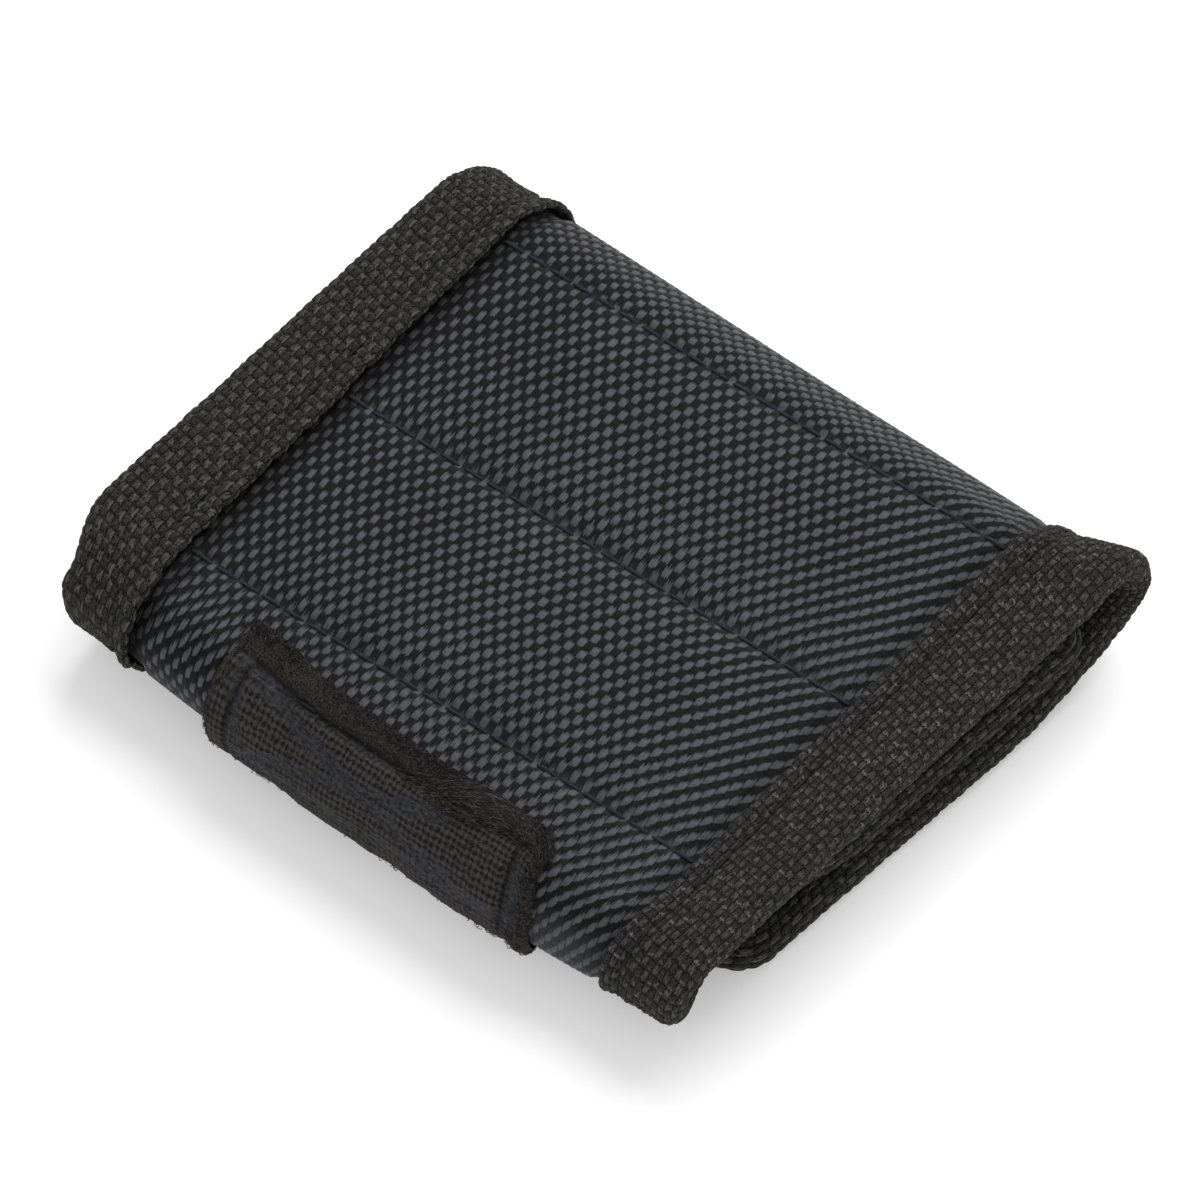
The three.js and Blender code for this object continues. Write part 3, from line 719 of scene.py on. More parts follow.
def tape_finish():
    """Coarse matt webbing: dark lumps of cross yarn, ragged tufts between them and pale glints."""
    made = Finish("binding_webbing", roughness=0.85, specular=0.12, sheen=0.03)
    u, v = made.places()
    sideways = made.attribute("sideways")
    fine = made.grain(u, v, 5.0, 4.0)
    waver = made.grain(v, u, 3.0, 3.0)
    u = (waver - 0.5) * 0.7 + u
    v = (fine - 0.5) * 0.6 + v
    column = made.floor(u)
    row = made.floor(v)
    in_column = u - column
    in_row = v - row
    lump = made.math("FRACT", (column + row) * 0.5) * 2.0
    tuft = 1.0 - lump
    chance = made.add("TexWhiteNoise", 0, [made.vector(column, row)], noise_dimensions="2D")
    hairs = made.grain(u * 2.0, v * 7.0, 1.0, 3.0)
    ragged = (fine - 0.5) * 0.8
    black = colour(10, 10, 10)
    smooth_side = made.mix(made.step(fine, 0.3, 0.7), black, colour(54, 53, 52))
    rough_side = made.mix(made.step(hairs, 0.32, 0.68), black, colour(84, 82, 80))
    base = made.mix(lump, rough_side, smooth_side)
    base = made.mix(chance * 0.4, base, colour(32, 31, 30))
    beside = 0.5 - made.math("MAXIMUM", made.apart(in_column, 0.5), made.apart(in_row, 0.5))
    shade = made.step(beside + ragged, -0.04, 0.27, 0.06, 1.08)
    holes = made.step(made.math("COSINE", u * (TURN / PIERCED_PITCH)), 0.2, 0.8)
    holes = holes * made.step(made.apart(v, PIERCED_LINE), 0.6, 0.2) * sideways
    shade = shade * (holes * -0.8 + 1.0)
    across = made.step(made.apart(in_column, ragged + 0.86), 0.17, 0.04) * lump
    across = across * made.step(made.apart(in_row, 0.5), 0.55, 0.3) * (sideways * 0.7 + 0.3)
    along = made.step(made.apart(in_row, ragged + 0.2), 0.2, 0.05) * tuft * (sideways * -0.35 + 0.5)
    lit = made.step(chance * 0.6 + waver, 0.6, 1.1)
    glint = made.math("MAXIMUM", across, along) * lit
    tinted = made.mix(glint, made.shaded(base, shade), colour(104, 102, 100))
    relief = shade * 0.6 + (fine + hairs) * 0.4
    return made.finish(tinted, made.step(fine, 0.2, 0.8, 0.75, 0.95), made.bump(relief, 0.16, 0.9))


def lining_finish():
    """Soft knitted mesh: rows of small loops with dark eyes between them."""
    made = Finish("lining_knit", roughness=0.9, specular=0.15, sheen=0.2)
    u, v = made.places()
    slant = made.wave(v, 2 * LINING_LOOP) * 0.22
    knit = made.wave(v, LINING_LOOP) * 0.35 + made.wave(u + slant, LINING_RIB)
    fuzz = made.grain(u, v, 6.0, 3.0)
    base = made.mix(made.step(knit, -1.0, 1.0), colour(14, 14, 15), colour(44, 44, 46))
    base = made.mix(fuzz * 0.4, base, colour(58, 57, 57))
    return made.finish(base, made.step(fuzz, 0.2, 0.8, 0.8, 0.98), made.bump(fuzz * 0.5 + knit, 0.12, 0.8))


def foam_finish():
    """Closed-cell foam sheet with fine pores."""
    made = Finish("foam_sheet", roughness=0.95, specular=0.1)
    place = made.solid_places()
    pores = made.node("TexVoronoi", Vector=place, Scale=2500.0)
    cloud = made.noise(place, 300.0, 3.0)
    base = made.mix(made.step(pores, 0.1, 0.6), colour(40, 40, 42), colour(72, 72, 74))
    base = made.mix(cloud * 0.5, base, colour(58, 58, 60))
    return made.finish(base, made.step(cloud, 0.3, 0.7, 0.85, 1.0), made.bump(pores, 0.1, 0.6))


def magnet_finish():
    """Brushed nickel plate with a few handling marks."""
    made = Finish("nickel_plate", roughness=0.3, specular=0.5, metallic=1.0)
    place = made.solid_places()
    x, y = made.split(place)
    lines = made.grain(x * 400.0, y * 9000.0, 1.0, 3.0)
    worn = made.noise(place, 180.0, 4.0)
    base = made.mix(lines, (0.56, 0.57, 0.59, 1), (0.7, 0.71, 0.73, 1))
    base = made.mix(made.step(worn, 0.6, 0.75, 0.0, 0.4), base, (0.4, 0.39, 0.38, 1))
    return made.finish(base, made.step(worn, 0.3, 0.7, 0.22, 0.42), made.bump(lines, 0.01, 0.5))


def thread_finish(name, low, high):
    """Bonded sewing thread with its lay and a slight gloss."""
    made = Finish(name, roughness=0.5, specular=0.2)
    u, v = made.places()
    strands = made.math("SINE", (u * 7.0 + v * TURN) * 4.0)
    fuzz = made.grain(u, v, 9.0, 3.0)
    base = made.mix(made.step(strands, -1.0, 1.0), low, high)
    base = made.mix(fuzz * 0.35, base, low)
    return made.finish(base, made.step(fuzz, 0.3, 0.7, 0.45, 0.7), made.bump(strands, 0.03, 0.6))


def loop_finish():
    """Brushed loop tape: rows of small knitted loops, bluish matted streaks along its seams, a fuzzy rim."""
    made = Finish("loop_tape", roughness=0.9, specular=0.1, sheen=0.04)
    u, v = made.places()
    matted = made.attribute("matted")
    rim = made.attribute("rim")
    fuzz = made.grain(u, v, 5.0, 5.0)
    sway = (made.grain(u, v, 1.1, 3.0) - 0.5) * 0.8
    knots = made.wave(v + sway, LOOP_ROW) * 0.4 + (made.wave(u + sway, LOOP_COLUMN) * 0.5 + 1.0)
    knots = (fuzz - 0.5) * 2.0 + knots
    knit = made.mix(made.step(knots, 0.1, 1.9), colour(15, 14, 14), colour(62, 60, 58))
    nap = made.mix(made.step(fuzz, 0.35, 0.68), colour(9, 9, 9), colour(54, 52, 49))
    strands = made.grain(u * 4.0, v * 1.5, 1.0, 4.0)
    mat = made.mix(made.step(strands, 0.35, 0.68), colour(22, 23, 25), colour(58, 60, 65))
    base = made.mix(rim, made.mix(matted * 0.8, knit, mat), nap)
    # painted shade in the seam's groove round the patch
    base = made.shaded(base, made.attribute("groove") * -0.75 + 1.0)
    loose = 1.0 - made.math("MAXIMUM", rim, matted)
    relief = knots * loose * 0.35 + fuzz
    return made.finish(base, matted * -0.25 + 0.92, made.bump(relief, 0.22, 0.8))


def fibre_finish():
    """Single nylon fibres of the brushed loops."""
    made = Finish("loop_fibres", roughness=0.7, specular=0.15)
    shade = made.grain(*made.places(), 1.5, 2.0)
    base = made.mix(made.step(shade, 0.42, 0.72), colour(11, 10, 10), colour(86, 84, 80))
    return made.finish(base, made.step(shade, 0.3, 0.7, 0.5, 0.75))


def hook_finish():
    """Moulded and woven hook tape, semi-matt nylon."""
    made = Finish("hook_tape", roughness=0.6, specular=0.3)
    u, v = made.places()
    grain = made.grain(u * 2.0, v * 9.0, 1.0, 3.0)
    base = made.mix(made.step(grain, 0.3, 0.7), colour(14, 14, 15), colour(40, 40, 42))
    relief = made.wave(v, HOOK_RIB) * 0.4 + grain
    return made.finish(base, made.step(grain, 0.3, 0.7, 0.45, 0.75), made.bump(relief, 0.08, 0.6))


finishes = {
    "cover": cover_finish(),
    "tape": tape_finish(),
    "lining": lining_finish(),
    "foam": foam_finish(),
    "magnet": magnet_finish(),
    "thread": thread_finish("seam_thread", colour(20, 22, 27), colour(46, 49, 58)),
    "black_thread": thread_finish("black_thread", colour(8, 8, 8), colour(24, 24, 24)),
    "loop": loop_finish(),
    "fibre": fibre_finish(),
    "hook": hook_finish(),
}

# Which bodies a piece's cloth lies over, and where it turns from one to the other
SHOULDER_TURN_START = -25.3
SHOULDER_TURN_END = -32
turn_height = spot(flex_shoulder)[2]
zones = {
    "flap": ("closure_flap",),
    "top": ("top_panel",),
    "tongue": ("tongue",),
    "flap_fold": ("closure_flap", "right_fold"),
    "fold_top": ("right_fold", "top_panel"),
    "shoulder": ("top_panel", "tongue"),
}
fold_turns = {"flap_fold": (right_fold_start, fold_middle), "fold_top": (fold_middle, top_start)}


def follow_bodies(piece, zone, replaced, depth=0.0):
    """Hides the parts that a piece replaces and ties the piece to its body. A piece whose cloth crosses two
    bodies is not tied to them: the ends of its turn are found at the piece's own depth, and its transform is
    baked in.
    """
    bodies = zones[zone]
    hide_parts(*replaced)
    if len(bodies) == 1:
        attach(piece, bodies[0])
        return
    if zone in fold_turns:
        first, last = (spot(place, depth) for place in fold_turns[zone])
    else:
        first = (SHOULDER_TURN_START * MM, 0, turn_height)
        last = (SHOULDER_TURN_END * MM, 0, turn_height)
    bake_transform(piece)


# Outer fabric and lining


def draw_in(along, across):
    """0 in the panel, 1 inside the binding."""
    reach = np.minimum(half_width - np.abs(across), np.minimum(along, strip_end - along))
    return 1 - smooth(drawn_in, drawn_in + BINDING_SLOPE, reach)


def crown(along, across):
    """How far the fabric swells over a magnet pocket."""
    lengthwise = 2 * (along - pocket_seams[0]) / pocket_pitch
    lengthwise = np.where(lengthwise < 2, lengthwise, lengthwise - 2) - 1
    crosswise = np.abs(across) / (half_width - drawn_in - BINDING_SLOPE)
    swell = np.clip(1 - lengthwise ** 4, 0, 1) * np.clip(1 - crosswise ** 4, 0, 1)
    inside = (along > pocket_seams[0]) & (along < pocket_seams[-1])
    return POCKET_CROWN * swell * inside


def cover_depth(along, across):
    """The outer fabric's depth without its weave, with a groove at each seam across the strip."""
    edge = draw_in(along, across)
    pulls = [bell(along - seam, SEAM_GROOVE_WIDTH) for seam in (*pocket_seams, *flap_seams)]
    groove = SEAM_GROOVE * np.max(pulls, axis=0) * (1 - edge)
    return cover_edge_depth * edge - crown(along, across) + groove


def cover_columns():
    """Places across the fabric: close together where it shows, far apart inside the binding."""
    steps = round((lip_across + COVER_FINE_OVERLAP) / COVER_COLUMN_STEP)
    fine = COVER_COLUMN_STEP * np.arange(-steps, steps + 1)
    coarse = np.linspace(fine[-1], COVER_HALF, 5)[1:]
    return np.concatenate([-coarse[::-1], fine, coarse])


def yarn_places(along, across):
    """Yarn counts along and across the strip, with the slight wander of a real cloth."""
    u = (along + COVER_LEAN_ALONG * across) / COVER_PITCH_ALONG
    v = (across + COVER_LEAN_ACROSS * along) / COVER_PITCH_ACROSS
    u = u + YARN_WANDER * noise(along / 9, across / 5, "yarn_along")
    v = v + YARN_WANDER * noise(along / 5, across / 9, "yarn_across")
    return u, v


def lip_painted_shade(across):
    """How dark the fabric is painted close to the binding's lips: painted shade where little light falls."""
    left = LEFT_LIP_SHADE * bell(np.clip(lip_across - across, 0, None), LIP_SHADE_WIDTH)
    right = RIGHT_LIP_SHADE * bell(np.clip(lip_across + across, 0, None), LIP_SHADE_WIDTH)
    return np.maximum(left, right)


def float_sheen_spread(along):
    """How far the painted sheen spreads along the floats and frays their ends: more towards the end of each
    pocket, and most before the left fold.
    """
    pocket = (along - pocket_seams[0]) / pocket_pitch
    inside = (pocket > 0) & (along < pocket_seams[-1])
    bent = smooth(left_fold_start + 1, left_outermost - 2, along)
    past = np.where(along < pocket_seams[-1], 0, SHEEN_PAST_SEAMS - (SHEEN_PAST_SEAMS + SHEEN_CUT_ON_FOLD) * bent)
    return smooth(0.4, 1.05, pocket - np.floor(pocket)) * inside + past


def float_sheen_and_seam_grey(along):
    """How far the black yarns are greyed: beside the seams, and by a painted sheen where the fabric turns
    down.
    """
    off_seam = np.min([np.abs(along - seam) for seam in pocket_seams], axis=0)
    seam_grey = SEAM_GREY * bell(off_seam, SEAM_GREY_WIDTH)
    return np.maximum(smooth(left_fold_start + 5, left_outermost, along), seam_grey)


def float_lean(along, across):
    """How far the floats lean towards each other, near the right binding and at the left fold's far end."""
    at_fold = between(*floats_leaning, along) * smooth(16, 26, across)
    ropes = np.maximum(smooth(ROPES_FROM, ROPES_FULL, across), at_fold)
    return LEANING * (LEANING_ELSEWHERE + (1 - LEANING_ELSEWHERE) * ropes)


def strip_layer(layer, node_layer):
    """The four pieces of a layer, which meet on fold lines and a seam: name, zone and the nodes it shows."""
    words = ["flap", "fold", "top", "tongue"]
    nodes = [f"{word}_{node_layer}" for word in words]
    layer_zones = ["flap_fold", "fold_top", "shoulder", "tongue"]
    return [(f"{layer}_{word}", layer_zones[i], nodes[i:i + 2]) for i, word in enumerate(words)]


def make_cover():
    """The outer fabric, woven."""
    rows = np.arange(END_MARGIN, strip_end - END_MARGIN, COVER_ROW_STEP)
    splits = [0, *np.searchsorted(rows, [fold_middle, pocket_seams[1], left_outermost]), len(rows) - 1]
    columns = cover_columns()
    parts = strip_layer("cover", "outer_fabric")
    for (name, zone, replaced), first, last in zip(parts, splits[:-1], splits[1:]):
        along, across = np.meshgrid(rows[first:last + 1], columns, indexing="ij")
        u, v = yarn_places(along, across)
        rise = COVER_RELIEF * weave_relief(u, v) * (1 - BOUND_FLAT * draw_in(along, across))
        points = strip_points(along, across, cover_depth(along, across) - rise)
        faces = grid_faces(*along.shape, flip=True)
        shares = {
            "lip_shade": lip_painted_shade(across),
            "spread": float_sheen_spread(along),
            "lean": float_lean(along, across),
            "thin": THINNED * smooth(THIN_FROM, THIN_FULL, across),
            "fold_sheen_seam_grey": float_sheen_and_seam_grey(along),
        }
        piece = make_piece(name, points, [faces], finishes["cover"], np.stack([u, v], -1), shares)
        follow_bodies(piece, zone, replaced)


def make_lining():
    """The knitted lining, split where the outer fabric is."""
    limits = [END_MARGIN, fold_middle, pocket_seams[1], left_outermost, strip_end - END_MARGIN]
    columns = np.linspace(-COVER_HALF, COVER_HALF, round(2 * COVER_HALF / LINING_STEP))
    parts = strip_layer("lining", "lining")
    for (name, zone, replaced), first, last in zip(parts, limits[:-1], limits[1:]):
        rows = np.linspace(first, last, round((last - first) / LINING_STEP))
        along, across = np.meshgrid(rows, columns, indexing="ij")
        depth = panel - cover_edge_depth * draw_in(along, across)
        depth = depth + LINING_WAVE * noise(along / 3, across / 3, "lining")
        points = strip_points(along, across, depth)
        uv = np.stack([along, across], -1)
        piece = make_piece(name, points, [grid_faces(*along.shape)], finishes["lining"], uv)
        length = (last - first) * MM
        follow_bodies(piece, zone, replaced, panel)


# Edge binding


def leg_height(reach, lip):
    """How far the tape stands above the ply, at a reach from the bound edge."""
    rise = (lip - BINDING_PROUD) * smooth(BINDING_REACH - LIP_START, BINDING_REACH - LIP_RADIUS, reach)
    off_seam = reach - BINDING_REACH + BINDING_SEAM_INSET
    return BINDING_PROUD + rise - STITCH_DIP * bell(off_seam, STITCH_DIP_WIDTH)


def binding_section(lip):
    """The folded tape's outer surface from lip to lip: reach, depth, outward direction and girth."""
    middle = panel / 2
    half_round = middle + BINDING_PROUD
    top = BINDING_REACH - LIP_RADIUS
    under = np.arange(top - LIP_TUCK, top, SECTION_STEP)
    lip_turn = np.arange(0, np.pi, SECTION_STEP / LIP_RADIUS)
    leg = np.arange(top, half_round, -SECTION_STEP)
    bend = np.arange(0, np.pi / 2, SECTION_STEP / half_round)
    reach = np.concatenate([
        under,
        top + LIP_RADIUS * np.sin(lip_turn),
        leg,
        half_round - half_round * np.sin(bend),
    ])
    depth = np.concatenate([
        2 * LIP_RADIUS - lip + LIP_TUCK_SLOPE * (top - under),
        LIP_RADIUS * (1 + np.cos(lip_turn)) - lip,
        -leg_height(leg, lip),
        middle - half_round * np.cos(bend),
    ])
    reach = np.concatenate([reach, reach[::-1]])
    depth = np.concatenate([depth, 2 * middle - depth[::-1]])
    girth = np.concatenate([[0], np.cumsum(np.hypot(np.diff(reach), np.diff(depth)))])
    even = np.linspace(0, girth[-1], round(girth[-1] / (TAPE_PITCH_GIRTH / TAPE_SAMPLES)))
    reach = np.interp(even, girth, reach)
    depth = np.interp(even, girth, depth)
    tangent = np.stack([np.gradient(reach), np.gradient(depth)], -1)
    tangent /= np.linalg.norm(tangent, axis=-1, keepdims=True)
    return reach, depth, np.stack([-tangent[:, 1], tangent[:, 0]], -1), even


def gone_along(points):
    """The length gone at each of a row of points."""
    return np.concatenate([[0], np.cumsum(np.linalg.norm(np.diff(points, axis=0), axis=1))])


def edge_keys(places, side):
    """Places along one long edge: the edge point, the lip point and the yarn count there."""
    return [((along, side * half_width), (along, side * lip_across), -side * along / TAPE_PITCH_ALONG)
            for along in places]


def end_keys(split, end, inwards):
    """Places from a split on the right edge round a bound end to the split on the left edge."""
    straight = end + inwards * 2 * BINDING_REACH
    right = edge_keys([split, straight], -1)
    left = edge_keys([straight, split], 1)
    inset = BINDING_REACH + BINDING_INNER_CORNER
    corners = []
    quarter = np.linspace(0, np.pi / 2, 17)
    for side, angles in ((-1, quarter), (1, quarter[::-1])):
        outer = np.array([end + inwards * CORNER_RADIUS, side * (half_width - CORNER_RADIUS)])
        inner = np.array([end + inwards * inset, side * (half_width - inset)])
        for angle in angles:
            towards = np.array([-inwards * math.sin(angle), side * math.cos(angle)])
            corners.append((outer + CORNER_RADIUS * towards, inner + BINDING_INNER_CORNER * towards, None))
    middles = [(np.array(edge) + np.array(lip)) / 2 for edge, lip, _ in [right[1], *corners, left[0]]]
    gone = gone_along(np.array(middles))
    before = right[1][2]
    after = left[0][2]
    wanted = before - inwards * gone[-1] / TAPE_PITCH_ALONG
    shift = 2 * round((wanted - after) / 2)
    counts = before + (after + shift - before) * gone / gone[-1]
    turned = [(edge, lip, count) for (edge, lip, _), count in zip(corners, counts[1:-1])]
    return right + turned + [(edge, lip, count + shift) for edge, lip, count in left]


class BindingPath:
    """A run of binding: edge points, lip points and yarn counts by the length gone."""

    def __init__(self, keys):
        self.edge, self.lip, self.count = (np.array([key[part] for key in keys]) for part in range(3))
        self.gone = gone_along((self.edge + self.lip) / 2)
        self.length = self.gone[-1]

    def at(self, gone):
        def along_path(values):
            return np.stack([np.interp(gone, self.gone, values[:, part]) for part in range(2)], -1)
        return along_path(self.edge), along_path(self.lip), np.interp(gone, self.gone, self.count)

    def place(self, gone, reach):
        """Along and across, at a reach from the bound edge."""
        edge, lip, _ = self.at(gone)
        point = edge + (lip - edge) * (reach / BINDING_REACH)
        return point[..., 0], point[..., 1]


def make_binding(name, path, zone, replaced, lip):
    """One run of the folded tape, woven, with its lips."""
    reach, depth, away, girth = binding_section(lip)
    count_along = round(path.length / (TAPE_PITCH_ALONG / TAPE_SAMPLES)) + 1
    edge, inner, count = path.at(np.linspace(0, path.length, count_along))
    u, v = np.meshgrid(count, girth / TAPE_PITCH_GIRTH, indexing="ij")
    u = u + TAPE_LEAN * v + YARN_WANDER * noise(u / 6, v / 4, "tape_along")
    v = v + YARN_WANDER * noise(u / 4, v / 6, "tape_girth")
    rise = TAPE_RELIEF * (weave_relief(u, v) - 0.5) + TAPE_LUMPS * noise(u / 1.5, v / 1.5, "tape_lumps")
    frayed = LIP_FRAY * noise(u * 0.62, v * 0.0, "lip") + 0.05 * np.cos(np.pi * u)
    near_lip = smooth(BINDING_REACH - LIP_FRAY_WIDTH[0], BINDING_REACH - LIP_FRAY_WIDTH[1], reach)
    moved = reach + away[:, 0] * rise + frayed * near_lip
    deep = depth + away[:, 1] * rise
    at = edge[:, None] + (inner - edge)[:, None] * (moved / BINDING_REACH)[..., None]
    points = strip_points(at[..., 0], at[..., 1], deep)
    flip = path.edge[0, 1] * (path.edge[1, 0] - path.edge[0, 0]) > 0
    faces = grid_faces(*u.shape, flip=flip)
    shares = {"sideways": np.full(u.shape, float(name.endswith("right")))}
    piece = make_piece(name, points, [faces], finishes["tape"], np.stack([u, v], -1), shares)
    follow_bodies(piece, zone, replaced, panel / 2)


def stitch_lines(path_place, length, depth):
    """A line of single stitches along a path: points, outward directions and radii."""
    count = max(1, round(length / STITCH_LENGTH))
    pitch = length / count
    share = np.linspace(0, 1, 9)
    gone = (np.arange(count)[:, None] + 0.5) * pitch + (share - 0.5) * (pitch - STITCH_GAP)
    along, across = np.broadcast_arrays(*path_place(gone))
    arch = 1 - np.abs(2 * share - 1) ** 4
    inwards = 1 if depth < panel / 2 else -1
    lines = strip_points(along, across, depth + inwards * STITCH_END_DIP * (1 - arch))
    radii = THREAD_RADIUS * (STITCH_END_RADIUS + (1 - STITCH_END_RADIUS) * arch)
    return lines, outward(along, across), np.broadcast_to(radii, along.shape)


def make_stitches(name, runs, zone, replaced, finish, depth=0.0):
    """A piece of thread from one or more runs of stitches."""
    lines, ups, radii = (np.concatenate(parts) for parts in zip(*runs))
    thread = finishes[finish]
    piece = make_tubes(name, lines, ups, radii, thread, THREAD_SIDES, THREAD_PLIES, THREAD_TWIST)
    follow_bodies(piece, zone, replaced, depth)


def binding_stitches(name, path, zone, replaced, lip):
    """The stitches that hold a run of binding, on both faces."""
    reach = BINDING_REACH - BINDING_SEAM_INSET
    height = leg_height(reach, lip) + STITCH_RISE
    runs = [stitch_lines(lambda gone: path.place(gone, reach), path.length, depth)
            for depth in (-height, panel + height)]
    make_stitches(name, runs, zone, replaced, "black_thread", panel / 2)


def make_bindings():
    """All runs of binding: round the flap, round the tongue, along the top and over the shoulder."""
    flap_nodes = ["flap_binding", "fold_binding_right", "fold_binding_left"]
    tongue_nodes = ["tongue_binding"]
    runs = [
        ("flap", end_keys(fold_middle, 0, 1), "flap_fold", flap_nodes, flap_nodes, RIGHT_LIP),
        ("tongue", end_keys(left_outermost, strip_end, -1), "tongue", tongue_nodes, tongue_nodes, RIGHT_LIP),
    ]
    for side, word, lip in ((-1, "right", RIGHT_LIP), (1, "left", LEFT_LIP)):
        seam = [f"top_binding_seam_{word}"]
        node = f"top_binding_{word}"
        high = edge_keys([fold_middle, pocket_seams[1]], side)
        low = edge_keys([pocket_seams[1], left_outermost], side)
        runs.append((f"top_{word}", high, "fold_top", [node, f"fold_binding_{word}"], seam, lip))
        runs.append((f"shoulder_{word}", low, "shoulder", [node, "tongue_binding"], seam, lip))
    for name, keys, zone, replaced, seam, lip in runs:
        path = BindingPath(keys)
        make_binding("binding_" + name, path, zone, replaced, lip)
        binding_stitches("binding_stitches_" + name, path, zone, seam, lip)


def make_cross_seams():
    """Stitches across the strip, down in their grooves."""
    seams = [(f"pocket_seam_{index + 1}", "top", seam) for index, seam in enumerate(pocket_seams)]
    seams += [(f"flap_seam_{index + 1}", "flap", seam) for index, seam in enumerate(flap_seams)]
    for node, zone, seam in seams:
        depth = SEAM_GROOVE - COVER_RELIEF - STITCH_RISE
        run = stitch_lines(lambda gone: (seam, gone - lip_across), 2 * lip_across, depth)
        make_stitches("stitches_" + node, [run], zone, [node], "thread")


# Closure patches


def patch_grid(first, last, step):
    """Places along and across a patch."""
    rows = np.linspace(first, last, round((last - first) / step))
    columns = np.linspace(-half_patch, half_patch, round(PATCH_WIDTH / step))
    return np.meshgrid(rows, columns, indexing="ij")


def patch_rise(along, across, limits, thickness):
    """A patch's height above its ply, with rounded edges and its seam's groove, and the way to its edge."""
    to_end = np.minimum(along - limits[0], limits[1] - along)
    to_side = half_patch - np.abs(across)
    to_edge = np.minimum(to_end, to_side)
    end_groove = PATCH_GROOVE * bell(to_end - PATCH_SEAM_INSET, PATCH_GROOVE_WIDTH)
    side_groove = SIDE_GROOVE * bell(to_side - PATCH_SEAM_INSET, SIDE_GROOVE_WIDTH)
    full = thickness * (PATCH_EDGE + (1 - PATCH_EDGE) * rounded(to_edge, PATCH_ROUND))
    return full - np.maximum(end_groove, side_groove), to_edge


def make_patch_seam(node, zone, limits, thickness, face):
    """The ring of stitches round a patch, on the outer face (-1) or on the lining (1)."""
    first, last = limits[0] + PATCH_SEAM_INSET, limits[1] - PATCH_SEAM_INSET
    half = half_patch - PATCH_SEAM_INSET
    height = PLY_GAP + thickness - PATCH_GROOVE + STITCH_END_DIP
    depth = -height if face < 0 else panel + height
    runs = [stitch_lines(lambda gone: (first + gone, side), last - first, depth) for side in (-half, half)]
    runs += [stitch_lines(lambda gone: (end, gone - half), 2 * half, depth) for end in (first, last)]
    make_stitches("stitches_" + node, runs, zone, [node], "black_thread")


def patch_points(along, across, height):
    """Points of the loop patch: its first edge runs at a slant, with one round corner, and its ends flare."""
    from_start = along - loop_from
    corner = np.clip((CORNER_REACH - half_patch - across) / CORNER_REACH, 0, 1)
    lag = EDGE_LAG * smooth(18, -10, across) - EDGE_LEAD * smooth(8, 22, across) + CORNER_LAG * corner ** 2
    placed = along + lag * (1 - smooth(0, 9, from_start))
    wider = across * (1 + FLARE * smooth(10, -18, across) * between(3, 11, 14, 26, from_start))
    return strip_points(placed, wider, -PLY_GAP - height), outward(placed, wider)


def loop_height(along, across):
    """The loop patch's height above its ply, flattened where it is bent, and the distance to its edge."""
    rise, to_edge = patch_rise(along, across, (loop_from, loop_to), LOOP_THICKNESS)
    swell = LOCK_SWELL * bell(across - LOCK_MIDDLE, LOCK_HALF)
    swell = swell * bell(along - loop_from - LOCK_SWELL_PLACE, LOCK_SWELL_WIDTH)
    return rise * (1 - BENT_FLAT * (1 - smooth(ramp_start, tongue_start, along))) + swell, to_edge


def matted_share(from_start, across):
    """How far the loops are pressed down, from 0 to 1."""
    share = np.zeros_like(across)
    width = MATTED_WIDTH * (1 + 0.5 * noise(from_start / 1.1, across / 1.6, "matting"))
    for start, end in MATTED_LINES:
        run = np.array(end) - np.array(start)
        gone = ((from_start - start[0]) * run[0] + (across - start[1]) * run[1]) / (run @ run)
        gone = np.clip(gone, 0, 1)
        away = np.hypot(from_start - start[0] - gone * run[0], across - start[1] - gone * run[1])
        share = np.maximum(share, 1 - smooth(0.5, 1.5, away / width))
    slanted = noise((from_start - 0.7 * across) / 2.2, (across + 0.7 * from_start) / 9, "wear")
    return np.maximum(share, smooth(0.35, 0.9, slanted) * smooth(12, 16, from_start))


def make_loop_patch():
    """The loop patch with its knit, matted streaks, rim and fuzz."""
    along, across = patch_grid(loop_from, loop_to, LOOP_STEP)
    from_start = along - loop_from
    rise, to_edge = loop_height(along, across)
    first_rim = 1 - smooth(PATCH_SEAM_INSET - 0.9, PATCH_SEAM_INSET + 0.3, from_start)
    rim = np.maximum(first_rim, 0.7 * (1 - smooth(0.3, 1.4, to_edge)))
    matted = (1 - rim) * matted_share(from_start, across)
    nap = 0.16 * noise(along / 0.5, across / 0.5, "nap") + 0.1 * noise(along / 0.3, across / 0.3, "fine_nap")
    rough = nap * (0.3 + 0.7 * rim) - 0.15 * matted + 0.2 * noise(along / 4, across / 4, "patch_lumps")
    points, _ = patch_points(along, across, rise + rough * smooth(0, 0.5, to_edge))
    faces = grid_faces(*along.shape, flip=True)
    # groove: where painted shade darkens the seam's groove
    shares = {"matted": matted, "rim": rim, "groove": bell(to_edge - PATCH_SEAM_INSET, 0.35)}
    uv = np.stack([along, across], -1)
    piece = make_piece("loop_patch_face", points, [faces], finishes["loop"], uv, shares)
    follow_bodies(piece, "tongue", ["loop_patch"])
    make_loop_fuzz()
    make_loop_lock()
    make_patch_seam("loop_patch_seam", "tongue", (loop_from, loop_to), LOOP_THICKNESS * (1 - BENT_FLAT), -1)


def make_fibres(name, along, across, height, radius):
    """Loose fibres of the loop patch."""
    lines, ups = patch_points(along, across, height)
    piece = make_tubes(name, lines, ups, radius, finishes["fibre"], FIBRE_SIDES)
    follow_bodies(piece, "tongue", ["loop_patch"])


